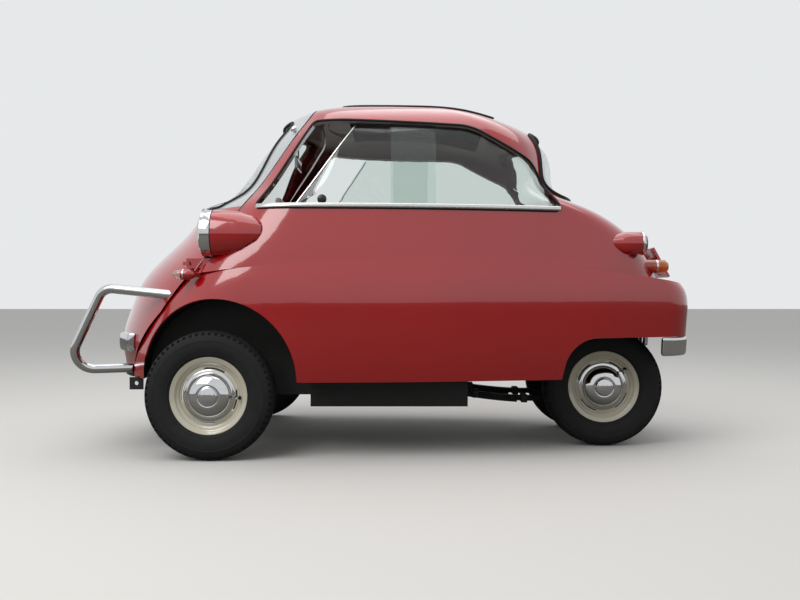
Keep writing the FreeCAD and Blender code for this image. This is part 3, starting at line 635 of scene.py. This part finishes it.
for wheelName in ("front_left", "front_right", "rear_left", "rear_right"):
    makeWheel(wheelName)
print("wheels made")


# Glazing rubbers, sill strips and channels

glazing = {
    "grow": 3.5,                    # the bead's middle line lies this far outside the opening
    "sideRadius": 0.0048,
    "screenRadius": 0.0062,
    "rearRadius": 0.0078,
    # across, up and corner radius, in millimetres
    "side": [(-482.5, 922, 12), (-272.5, 1256, 30), (315.5, 1234, 200), (547.5, 1107, 110),
             (659.5, 920, 15)],
    "screen": [(-440, 943, 38), (-292, 1284, 45), (292, 1284, 45), (440, 943, 38)],
    "rear": [(-400, 985, 60), (-330, 1232, 70), (330, 1232, 70), (400, 985, 60)],
    "stripLow": 919.5,
    "stripHigh": 933.5,
    "stripEnds": (-477, 655),
    "stripThick": 0.0035,
    "stripProud": (0.0045, 0.0065),     # how far the strip stands out at its edges and between them
    "leanHigh": 0.914,                  # the skin's lean is measured between these two heights
    "leanLow": 0.905,
}


def grown(outline, amount):
    # the outline moved outwards by amount
    middlePoint = sum(outline, Vector((0, 0))) / len(outline)
    out = []
    for i, point in enumerate(outline):
        run = outline[(i + 1) % len(outline)] - outline[i - 1]
        away = Vector((run.y, -run.x)).normalized()
        if away.dot(point - middlePoint) < 0:
            away = -away
        out.append(point + away * amount)
    return out


def bead(name, corners, steps, hit, radius, body, lift):
    # a rubber bead round an opening, thrown on to the skin
    line = []
    for u, v in denser(grown(roundedOutline(corners, steps), glazing["grow"] / 1000)):
        place, normal = hit(u, v)
        if place is not None:
            line.append(place + normal * lift)
    tubePiece(name, line, radius, sealRubber, body, True)


def moulding(name, rows, body, material, thickness, side, angle=40):
    # a strip between lines of surface points, given a thickness outwards
    bm = bmesh.new()
    lines = [[bm.verts.new(place) for place in row] for row in rows]
    edges = [[bm.edges.new(pair) for pair in zip(line, line[1:])] for line in lines]
    for low, high in zip(edges, edges[1:]):
        bmesh.ops.bridge_loops(bm, edges=low + high)
    bmesh.ops.recalc_face_normals(bm, faces=bm.faces)
    bm.normal_update()
    if sum(f.normal.dot(side) for f in bm.faces) < 0:
        bmesh.ops.reverse_faces(bm, faces=bm.faces)
    piece = finishPiece(name, bm, [material], body, angle, False)
    thickened(piece, thickness, 1)
    edge = piece.modifiers.new("edges", "BEVEL")
    edge.width = thickness * 0.3
    edge.segments = 2
    return piece


for sideName, side in flanks:
    bead("side_window_rubber_" + sideName, glazing["side"], 14, lambda x, z: sideHit(x, z, side),
         glazing["sideRadius"], "body", 0.001)
    first, last = glazing["stripEnds"]
    rows = []
    for z in (glazing["stripLow"], glazing["stripLow"] + 4, glazing["stripHigh"] - 4, glazing["stripHigh"]):
        row = []
        for k in range(49):
            x = (first + (last - first) * k / 48) / 1000
            upper = sideHit(x, glazing["leanHigh"], side)[0]
            lower = sideHit(x, glazing["leanLow"], side)[0]
            lean = (upper.y - lower.y) / (glazing["leanHigh"] - glazing["leanLow"])
            proud = glazing["stripProud"][glazing["stripLow"] < z < glazing["stripHigh"]]
            y = upper.y + lean * (z / 1000 - glazing["leanHigh"]) + side * proud
            row.append(Vector((x, y, z / 1000)))
        rows.append(row)
    moulding("sill_strip_" + sideName, rows, "body", aluminium, glazing["stripThick"], Vector((0, side, 0)))

bead("windscreen_rubber", glazing["screen"], 12, endHit, glazing["screenRadius"], "door", 0.001)
bead("rear_window_rubber", glazing["rear"], 12, lambda y, z: endHit(y, z, 1), glazing["rearRadius"], "body",
     0.002)

# Sliding panes: slim bright channel on the slanted edge, and a latch with a round knob
pane = {
    "foot": (-342.5, 921.5),
    "head": (-113.5, 1247),
    "back": 3.0,
    "channel": 3.2,                 # width of the bright edge
    "channelThick": 0.0015,
    "latch": (-235, 951),
    "catchBelow": (0.022, 0.004, 0.030),    # the catch's corners, from the latch
    "catchAbove": (0.022, 0.004, -0.012),
    "knob": [(17, 0), (17, 3), (15, 5), (9, 6), (8, 9), (11, 12), (12.5, 16), (11, 20), (6, 22),
             (0.3, 22.3)],
}
for sideName, side in flanks:
    panes = surfaceOf("side_panes_sliding")
    foot, head = Vector(pane["foot"]), Vector(pane["head"])
    rows = []
    for back in (-1.0, pane["channel"]):
        row = []
        for k in range(25):
            spot = foot.lerp(head, 0.01 + 0.96 * k / 24)
            place = sideHit((spot.x + pane["back"] + back + 1) / 1000, spot.y / 1000, side, panes)[0]
            if place is not None:
                row.append(place + Vector(((-1.0 if back < 0 else 0.0) / 1000, side * 0.0002, 0)))
        rows.append(row)
    count = min(len(row) for row in rows)
    moulding("pane_edge_" + sideName, [row[:count] for row in rows], "body", aluminium, pane["channelThick"],
             Vector((0, side, 0)))
    x, z = pane["latch"]
    place, normal = sideHit(x / 1000, z / 1000, side, panes)
    turnedPiece("pane_latch_" + sideName, pane["knob"], place, (0, side, 0), 40, blackPlastic, "body")
    bm = bmesh.new()
    block(bm, place - Vector(pane["catchBelow"]), place + Vector(pane["catchAbove"]))
    finishPiece("pane_catch_" + sideName, bm, [chrome], "body", 40)
print("glazing made")


# Lamps: each keeps its solid's outline and gets lens, bezel and painted shell

lamp = {
    "headFace": -0.6565,            # plane between the headlight's ring and its pod
    "headSide": 0.603,
    "headHigh": 0.824,
    "headRadius": 0.0848,
    "glassRadius": 0.0755,
    "headBand": [(85.6, 0.0), (86.2, 2.0), (86.2, 22.0), (85.4, 26.0)],   # radius, distance back, mm
    "bandThick": 0.0007,
    "flasherSplit": -0.7345,        # lens ahead of this, housing behind
    "flasherSide": 0.632,
    "flasherHigh": 0.676,
    "tailSplit": 0.9865,
    "tailSide": 0.398,
    "tailHigh": 0.800,
    "amberSplit": 1.060,
    "amberSide": 0.330,
    "amberHigh": 0.712,
    "gasketRadius": 0.0022,
    "screw": [(0.3, -4), (4.5, -3.6), (5, -2), (5, 0), (3.4, 0.4), (3.4, 5)],
    "screwPlace": (-0.0065, 0, -0.0865),
    "flasherBezel": [(17, -3), (20.2, -2.6), (20.8, 0), (20.2, 2.6), (17, 3), (17, -3)],
    "tailBezel": [(40, -6), (45.2, -5.4), (46.6, -2), (46.2, 2), (43.5, 5), (39, 6), (38, 2), (40, -6)],
    "amberBezel": [(24, -5), (27.4, -4.6), (28, -1), (27, 3), (24.5, 4), (23.5, 0), (24, -5)],
    "amberReach": 0.032,            # faces nearer to the rear flasher's axis than this belong to it
    "amberFrom": 1.0,
}


def offAxis(place, side, high):
    return math.hypot(abs(place.y) - side, place.z - high)


def headMaterial(place, normal):
    glass = normal.x < -0.25 and offAxis(place, lamp["headSide"], lamp["headHigh"]) < lamp["glassRadius"]
    return 1 if glass else 0


headlights = dressed("headlight_glasses", "headlights", [chrome, lampGlass], headMaterial, 30)
dressed("headlight_pods", "headlight_pod_shells", [redEnamel], lambda place, normal: 0, 50)
pods = surfaceOf("headlight_pods")
for sideName, side in flanks:
    centre = Vector((lamp["headFace"], side * lamp["headSide"], lamp["headHigh"]))
    arms = []
    for k in range(97):
        turn = 2 * math.pi * k / 96 - math.pi / 2 - side * 0.9
        arm = Vector((0, math.cos(turn), math.sin(turn)))
        probe = centre + Vector((0.012, 0, 0)) + arm * 0.12
        place = pods.ray_cast(probe, -arm)[0]
        if place is not None and (place - probe).length < 0.05:
            arms.append(arm)
        elif len(arms) > 12:
            break
    back = Vector((0.001, 0, 0))
    moulding("headlight_band_" + sideName,
             [[centre + arm * radius / 1000 + back * along for arm in arms]
              for radius, along in lamp["headBand"]],
             "body", chrome, lamp["bandThick"], Vector((0, side, 0)), 50)
    tubePiece("headlight_gasket_" + sideName,
              [centre + arm * lamp["headRadius"] + back * lamp["headBand"][-1][1] for arm in arms],
              lamp["gasketRadius"], sealRubber, "body")
    turnedPiece("headlight_screw_" + sideName, lamp["screw"], centre + Vector(lamp["screwPlace"]),
                (0, 0, 1), 20, chrome, "body")
    for name, key, steps in (("flasher_bezel_", "flasher", 48), ("tail_lamp_bezel_", "tail", 64),
                             ("rear_flasher_bezel_", "amber", 48)):
        centre = Vector((lamp[key + "Split"], side * lamp[key + "Side"], lamp[key + "High"]))
        turnedPiece(name + sideName, lamp[key + "Bezel"], centre, (1, 0, 0), steps, chrome, "body")


def frontFlasherMaterial(place, normal):
    return 1 if place.x < lamp["flasherSplit"] else 0


def tailMaterial(place, normal):
    near = offAxis(place, lamp["amberSide"], lamp["amberHigh"]) < lamp["amberReach"]
    if near and place.x > lamp["amberFrom"]:
        return 2 if place.x > lamp["amberSplit"] else 0
    return 1 if place.x > lamp["tailSplit"] else 0


dressed("front_flashers", "front_flasher_lamps", [redEnamel, clearLens], frontFlasherMaterial, 30)
dressed("tail_lamps", "rear_lamps", [redEnamel, redLens, amberLens], tailMaterial, 30)
print("lamps made")


# Folding sunroof: hood cloth drawn tight over bows, with a rolled hem

roof = {
    "cellsLong": 90,
    "cellsWide": 84,
    "bows": (0.02, 0.27, 0.52, 0.77),   # where the bows lie, as shares of the length
    "bowLift": 0.0016,
    "bowWide": 0.012,                   # widths are shares of the length too
    "sag": 0.0022,                      # dip of the cloth between two bows
    "sagWide": 0.07,
    "pucker": 0.0006,                   # small folds along each bow
    "puckers": 95,
    "puckerWide": 0.03,
    "inset": 0.0035,
    "sunk": 0.0035,                     # the cloth starts this far under its solid's top
    "hemRadius": 0.0032,
    "clothThick": 0.0022,
    "corner": 0.045,
}


def makeSunroof():
    low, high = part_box("sunroof")
    top = surfaceOf("sunroof")
    size = high - low
    bm = bmesh.new()
    bmesh.ops.create_grid(bm, x_segments=roof["cellsLong"], y_segments=roof["cellsWide"], size=0.5)
    inset = roof["inset"]
    for vert in bm.verts:
        along, across = vert.co.x, vert.co.y
        # square grid pulled in to rounded corners
        x = along * (size.x - 2 * inset)
        y = across * (size.y - 2 * inset)
        overX = abs(x) - (size.x / 2 - inset - roof["corner"])
        overY = abs(y) - (size.y / 2 - inset - roof["corner"])
        if overX > 0 and overY > 0:
            reachOut = max(overX, overY)
            length = math.hypot(overX, overY)
            x -= math.copysign(overX * (1 - reachOut / length), x)
            y -= math.copysign(overY * (1 - reachOut / length), y)
        x += (low.x + high.x) / 2
        y += (low.y + high.y) / 2
        place = top.ray_cast(Vector((x, y, 2)), Vector((0, 0, -1)))[0]
        if place is None:
            place = top.find_nearest(Vector((x, y, high.z)))[0]
        share = along + 0.5
        near = min(abs(share - bow) for bow in roof["bows"])
        lift = roof["bowLift"] * math.exp(-(near / roof["bowWide"]) ** 2)
        edge = min(1, (0.5 - abs(across)) / 0.08) * min(1, (0.5 - abs(along)) / 0.04)
        dip = roof["sag"] * edge * (1 - math.exp(-(near / roof["sagWide"]) ** 2))
        pucker = roof["pucker"] * math.sin(across * roof["puckers"])
        pucker *= math.exp(-(near / roof["puckerWide"]) ** 2)
        vert.co = Vector((x, y, place.z - roof["sunk"] + lift * edge - dip + pucker * edge))
    rim = [e for e in bm.edges if e.is_boundary]
    order, vert, edge = [], rim[0].verts[0], rim[0]
    for step in range(len(rim)):
        order.append(vert.co.copy())
        vert = edge.other_vert(vert)
        edge = next(e for e in vert.link_edges if e.is_boundary and e is not edge)
    cloth = finishPiece("sunroof_cloth", bm, [roofCloth], "body", 60)
    thickened(cloth, roof["clothThick"], -1)
    hem = tubePiece("sunroof_hem", order[::2], roof["hemRadius"], roofCloth, "body", True)
    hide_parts("sunroof")


makeSunroof()
print("sunroof made")


# Small outside trim

trim = {
    "lipRadius": 0.0045,
    "lipSunk": 0.0047,                  # the lip's middle line lies this deep in the wing
    "armRadius": 0.0032,
    "bladeRadius": 0.0038,
    "bladeLong": 0.26,
    "bladeBelow": 0.72,                 # share of the blade below the arm's end
    "bladeLift": 0.0055,
    "spineLift": 0.0045,
    "spineRadius": 0.0025,
    "spindle": [(15, -2), (15, 2), (12, 8), (9, 10), (9, 20), (6.5, 22), (0.3, 22.4)],
    "button": [(6, -3), (6, 3), (9, 5), (12.5, 9), (13, 14), (10.5, 19), (5, 22), (0.3, 22.5)],
    "overriderEdge": 0.003,
    "overriderSmooth": 90,
    "stayRadius": 0.0035,
    "stay": ((-0.694, 0.634, 0.688), (-0.655, 0.606, 0.748)),   # thin rod from flasher to headlight
    "wiperPivot": (-0.15, 0.938),       # across and up, on the windscreen frame
    "wiperTip": (0.20, 1.035),
    "armFoot": 0.018,                   # how far the arm's two ends stand off the frame and the glass
    "armTip": 0.014,
    "armRise": 0.010,
    "knob": (-0.353, 1.233),            # along and up, on the left of the frame
}


def makeWiper():
    frameSkin = surfaceOf("windscreen_frame", "door_panel")
    glass = surfaceOf("windscreen")
    place, normal = endHit(*trim["wiperPivot"], -1, frameSkin)
    turnedPiece("wiper_spindle", trim["spindle"], place, normal, 32, aluminium, "door", 35)
    tipPlace, tipNormal = endHit(*trim["wiperTip"], -1, glass)
    start = place + normal * trim["armFoot"]
    end = tipPlace + tipNormal * trim["armTip"]
    arm = []
    for k in range(9):
        share = k / 8
        spot = start.lerp(end, share)
        arm.append(spot + normal * trim["armRise"] * math.sin(math.pi * share))
    tubePiece("wiper_arm", arm, trim["armRadius"], chrome, "door", smooth=True)
    run = (end - start).normalized()
    blade = []
    for k in range(17):
        spot = end + run * (trim["bladeLong"] * (k / 16 - trim["bladeBelow"]))
        place, normal = endHit(spot.y, spot.z, -1, glass)
        if place is not None:
            blade.append(place + normal * trim["bladeLift"])
    tubePiece("wiper_blade", blade, trim["bladeRadius"], sealRubber, "door", sides=2)
    tubePiece("wiper_blade_spine", [spot + tipNormal * trim["spineLift"] for spot in blade[1:-1]],
              trim["spineRadius"], chrome, "door", sides=2)


makeWiper()

for sideName, side in flanks:
    place, normal = sideHit(*trim["knob"], side)
    if place is not None:
        turnedPiece("frame_button_" + sideName, trim["button"], place, normal, 32, chrome, "door")


def archLip(name, line, side):
    points = []
    for x, z in line:
        place, normal = sideHit(x, z, side, wingSkin)
        if place is not None and abs(place.y) > 0.5 and normal.y * side > 0.2:
            points.append(place - normal * trim["lipSunk"])
    lip = tubePiece(name, points, trim["lipRadius"], redEnamel, "body", smooth=True)


# lines of the front arch and of the skirt over the rear wheel, in millimetres
arch = {
    "middle": (-620.5, 290.0),
    "radius": 298.0,
    "grow": 2.5,
    "skirt": [(625.5, 150, 20), (685.5, 440, 130), (1400, 440, 20), (1400, 150, 20)],
    "skirtLow": 0.288,
    "skirtBack": 1.35,
}
wingSkin = surfaceOf("wings")
for sideName, side in flanks:
    line = []
    for k in range(73):
        turn = math.radians(1 + 178 * k / 72)
        size = (arch["radius"] + arch["grow"]) / 1000
        line.append((arch["middle"][0] / 1000 + size * math.cos(turn),
                     arch["middle"][1] / 1000 + size * math.sin(turn)))
    archLip("front_arch_lip_" + sideName, line, side)
    skirtLine = grown(denser(roundedOutline(arch["skirt"], 16)), arch["grow"] / 1000)
    shown = [p for p in skirtLine if p.y > arch["skirtLow"] and p.x < arch["skirtBack"]]
    line = sorted(shown, key=lambda p: p.x + p.y * 0.3)
    archLip("rear_skirt_lip_" + sideName, [(p.x, p.y) for p in line], side)

for end in ("front", "rear"):
    # the node's own shape with its edges pressed round and its ends closed in
    piece = dressed(end + "_bumperettes", end + "_overriders", [chrome], lambda place, normal: 0)
    form = piece.modifiers.new("pressing", "REMESH")
    form.mode = "VOXEL"
    form.voxel_size = trim["overriderEdge"]
    form.use_smooth_shade = True
    soft = piece.modifiers.new("rounding", "SMOOTH")
    soft.factor = 0.5
    soft.iterations = trim["overriderSmooth"]
for sideName, side in flanks:
    ends = [Vector((x, side * y, z)) for x, y, z in trim["stay"]]
    bm = bmesh.new()
    rod(bm, *ends, trim["stayRadius"], 20)
    stay = finishPiece("lamp_stay_" + sideName, bm, [redEnamel], "body", 40)
print("trim made")


# Bench: foam pads under vinyl, sewn into channels, with piping

seat = {
    "voxel": 0.0075,
    "shrink": 0.006,               # the pads start this much smaller
    "pressure": 4.0,
    "cap": 0.010,                  # how far a point may swell
    "channel": 0.066,              # between two seams
    "seam": 0.0045,                # depth of a seam
    "seamWide": 0.006,
    "margin": 0.05,                # seams stop this far from the pad's ends, after fading out
    "fade": 0.02,
    "pipeRadius": 0.0038,
    "pipeCorner": 28,
    "crown": 0.0021,               # how far a channel stands up between its seams
}


def swollen(mesh):
    # cloth pressed out from inside, then held to the cap
    pad = bpy.data.objects.new("padShape", mesh)
    bpy.context.scene.collection.objects.link(pad)
    start = [v.co.copy() for v in mesh.vertices]
    cloth = pad.modifiers.new("cloth", "CLOTH")
    cloth.settings.quality = 5
    cloth.settings.mass = 0.3
    cloth.settings.use_pressure = True
    cloth.settings.uniform_pressure_force = seat["pressure"]
    cloth.settings.effector_weights.gravity = 0
    for moment in range(1, 21):
        bpy.context.scene.frame_set(moment)
    shown = pad.evaluated_get(bpy.context.evaluated_depsgraph_get())
    out = bpy.data.meshes.new_from_object(shown)
    bpy.context.scene.frame_set(1)
    bpy.data.objects.remove(pad)
    for vert, home in zip(out.vertices, start):
        move = vert.co - home
        if move.length > seat["cap"]:
            vert.co = home + move.normalized() * seat["cap"]
    return out


def makePad(node, name, faceDirection):
    low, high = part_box(node)
    centre = (low + high) / 2
    size = high - low
    bm = mergedCopy(node)
    for vert in bm.verts:
        for axis in range(3):
            share = 1 - 2 * seat["shrink"] / size[axis]
            vert.co[axis] = centre[axis] + (vert.co[axis] - centre[axis]) * share
    mesh = bpy.data.meshes.new("padStart")
    bm.to_mesh(mesh)
    bm.free()
    holder = bpy.data.objects.new("padStart", mesh)
    bpy.context.scene.collection.objects.link(holder)
    grid = holder.modifiers.new("grid", "REMESH")
    grid.mode = "VOXEL"
    grid.voxel_size = seat["voxel"]
    shown = holder.evaluated_get(bpy.context.evaluated_depsgraph_get())
    mesh = bpy.data.meshes.new_from_object(shown)
    bpy.data.objects.remove(holder)
    mesh = swollen(mesh)
    bm = bmesh.new()
    bm.from_mesh(mesh)
    bm.normal_update()
    bmesh.ops.smooth_vert(bm, verts=bm.verts, factor=0.5, use_axis_x=True, use_axis_y=True, use_axis_z=True)
    face = Vector(faceDirection).normalized()
    for vert in bm.verts:
        # sewn channels run from front to back over the face the people touch
        across = (vert.co.y - centre.y) / seat["channel"]
        near = abs(across - round(across)) * seat["channel"]
        inside = min(1, max(0, (size.y / 2 - abs(vert.co.y - centre.y) - seat["margin"]) / seat["fade"]))
        facing = max(0, vert.normal.dot(face))
        dent = seat["seam"] * math.exp(-(near / seat["seamWide"]) ** 2)
        crown = seat["crown"] * math.cos(math.pi * (across - round(across)))
        vert.co -= vert.normal * (dent - crown) * inside * facing
    piece = finishPiece(name, bm, [redVinyl], "body", 75)
    more = piece.modifiers.new("smooth", "SUBSURF")
    more.levels = 1
    more.render_levels = 1
    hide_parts(node)
    return piece


cushion = makePad("seat_cushion", "bench_cushion", (0, 0, 1))
backrest = makePad("seat_backrest", "bench_backrest", (-1, 0, 0.3))


def piping(name, piece, node, inset, high):
    # welt round the top edge of a pad, laid on its own surface
    bm = bmesh.new()
    bm.from_mesh(piece.data)
    tree = BVHTree.FromBMesh(bm)
    bm.free()
    low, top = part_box(node)
    front, back = low.x * 1000 + inset, top.x * 1000 - inset
    left, right = low.y * 1000 + inset, top.y * 1000 - inset
    corners = [(x, y, seat["pipeCorner"])
               for x, y in ((front, left), (back, left), (back, right), (front, right))]
    line = []
    for spot in denser(roundedOutline(corners, 8)):
        place, normal = tree.find_nearest(Vector((spot.x, spot.y, high)))[:2]
        line.append(place + normal * 0.001)
    tubePiece(name, line, seat["pipeRadius"], sealRubber, "body", True)


piping("bench_welt", cushion, "seat_cushion", 7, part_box("seat_cushion")[1].z - 0.004)

# Controls and instruments
gauge = {
    "side": -0.300,
    "high": 0.882,
    "bezel": [(34, -3), (38, -2), (38, 4), (35, 6), (32, 4), (31, 0.8)],
    "dial": [(34, 0.4), (31, 1), (0.3, 1)],
    "marks": 13,
    "markFrom": 0.023,
    "markTo": 0.029,
}
low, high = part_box("instrument_pod")
centre = Vector((high.x, gauge["side"], gauge["high"]))
turnedPiece("gauge_bezel", gauge["bezel"], centre, (1, 0, 0), 64, chrome, "door")
turnedPiece("gauge_dial", gauge["dial"], centre, (1, 0, 0), 64, blackPlastic, "door")
bm = bmesh.new()
for k in range(gauge["marks"]):
    turn = math.radians(-120 + 20 * k)
    out = Vector((0, math.sin(turn), math.cos(turn)))
    ahead = centre + Vector((0.0012, 0, 0))
    rod(bm, ahead + out * gauge["markFrom"], ahead + out * gauge["markTo"], 0.0008, 6)
rod(bm, centre + Vector((0.0025, 0, 0)), centre + Vector((0.0025, -0.016, -0.014)), 0.0009, 6)
rod(bm, centre + Vector((0.0008, 0, 0)), centre + Vector((0.004, 0, 0)), 0.003, 20)
finishPiece("gauge_marks", bm, [ivoryPlastic], "door", 40)

# Ribbed rubber mat on the floor
mat = {
    "x": (-0.745, -0.135),
    "y": (-0.345, 0.345),
    "z": 0.2995,
    "thick": 0.002,
    "high": 0.0022,                 # a rib's height
    "cells": 116,
}
bm = bmesh.new()
bmesh.ops.create_grid(bm, x_segments=24, y_segments=mat["cells"], size=0.5)
for vert in bm.verts:
    share = vert.co.y + 0.5
    vert.co.x = mat["x"][0] + (vert.co.x + 0.5) * (mat["x"][1] - mat["x"][0])
    vert.co.y = mat["y"][0] + share * (mat["y"][1] - mat["y"][0])
    ridge = round(share * mat["cells"]) % 2
    vert.co.z = mat["z"] + mat["thick"] + mat["high"] * ridge
base = bmesh.ops.extrude_face_region(bm, geom=bm.faces[:])
for vert in (v for v in base["geom"] if isinstance(v, bmesh.types.BMVert)):
    vert.co.z = mat["z"]
finishPiece("floor_mat", bm, [matRubber], "body", 30)
print("cabin made")


# Running gear

leaf = {
    "x": (0.30, 0.86),
    "z": (0.212, 0.200),
    "sag": 0.022,
    "side": 0.150,
    "half": 0.025,
    "thick": 0.006,
    "gap": 0.0005,
    "count": 4,
    "steps": 24,
    "shorter": 0.11,                # each leaf ends this much before the one above
    "clips": (0.36, 0.56),
}


def leafHigh(x):
    share = (x - leaf["x"][0]) / (leaf["x"][1] - leaf["x"][0])
    return leaf["z"][0] + (leaf["z"][1] - leaf["z"][0]) * share - leaf["sag"] * math.sin(math.pi * share)


for sideName, side in flanks:
    bm = bmesh.new()
    for k in range(leaf["count"]):
        first = leaf["x"][0]
        last = leaf["x"][1] - leaf["shorter"] * k
        line = []
        for n in range(leaf["steps"] + 1):
            x = first + (last - first) * n / leaf["steps"]
            line.append(Vector((x, side * leaf["side"], leafHigh(x) - k * (leaf["thick"] + leaf["gap"]))))
        verts = [bm.verts.new(spot + Vector((0, -leaf["half"], 0))) for spot in line]
        edges = [bm.edges.new(pair) for pair in zip(verts, verts[1:])]
        wide = bmesh.ops.extrude_edge_only(bm, edges=edges)
        bmesh.ops.translate(bm, verts=[v for v in wide["geom"] if isinstance(v, bmesh.types.BMVert)],
                            vec=(0, 2 * leaf["half"], 0))
    spring = finishPiece("leaf_spring_" + sideName, bm, [chassisPaint], "body", 30)
    thickened(spring, leaf["thick"], -1)
    bm = bmesh.new()
    for x in leaf["clips"]:
        z = leafHigh(x)
        y = side * leaf["side"]
        block(bm, (x - 0.012, y - 0.03, z - 0.026), (x + 0.012, y + 0.03, z + 0.007))
    finishPiece("spring_clips_" + sideName, bm, [chassisPaint], "body", 30)
print("running gear made")
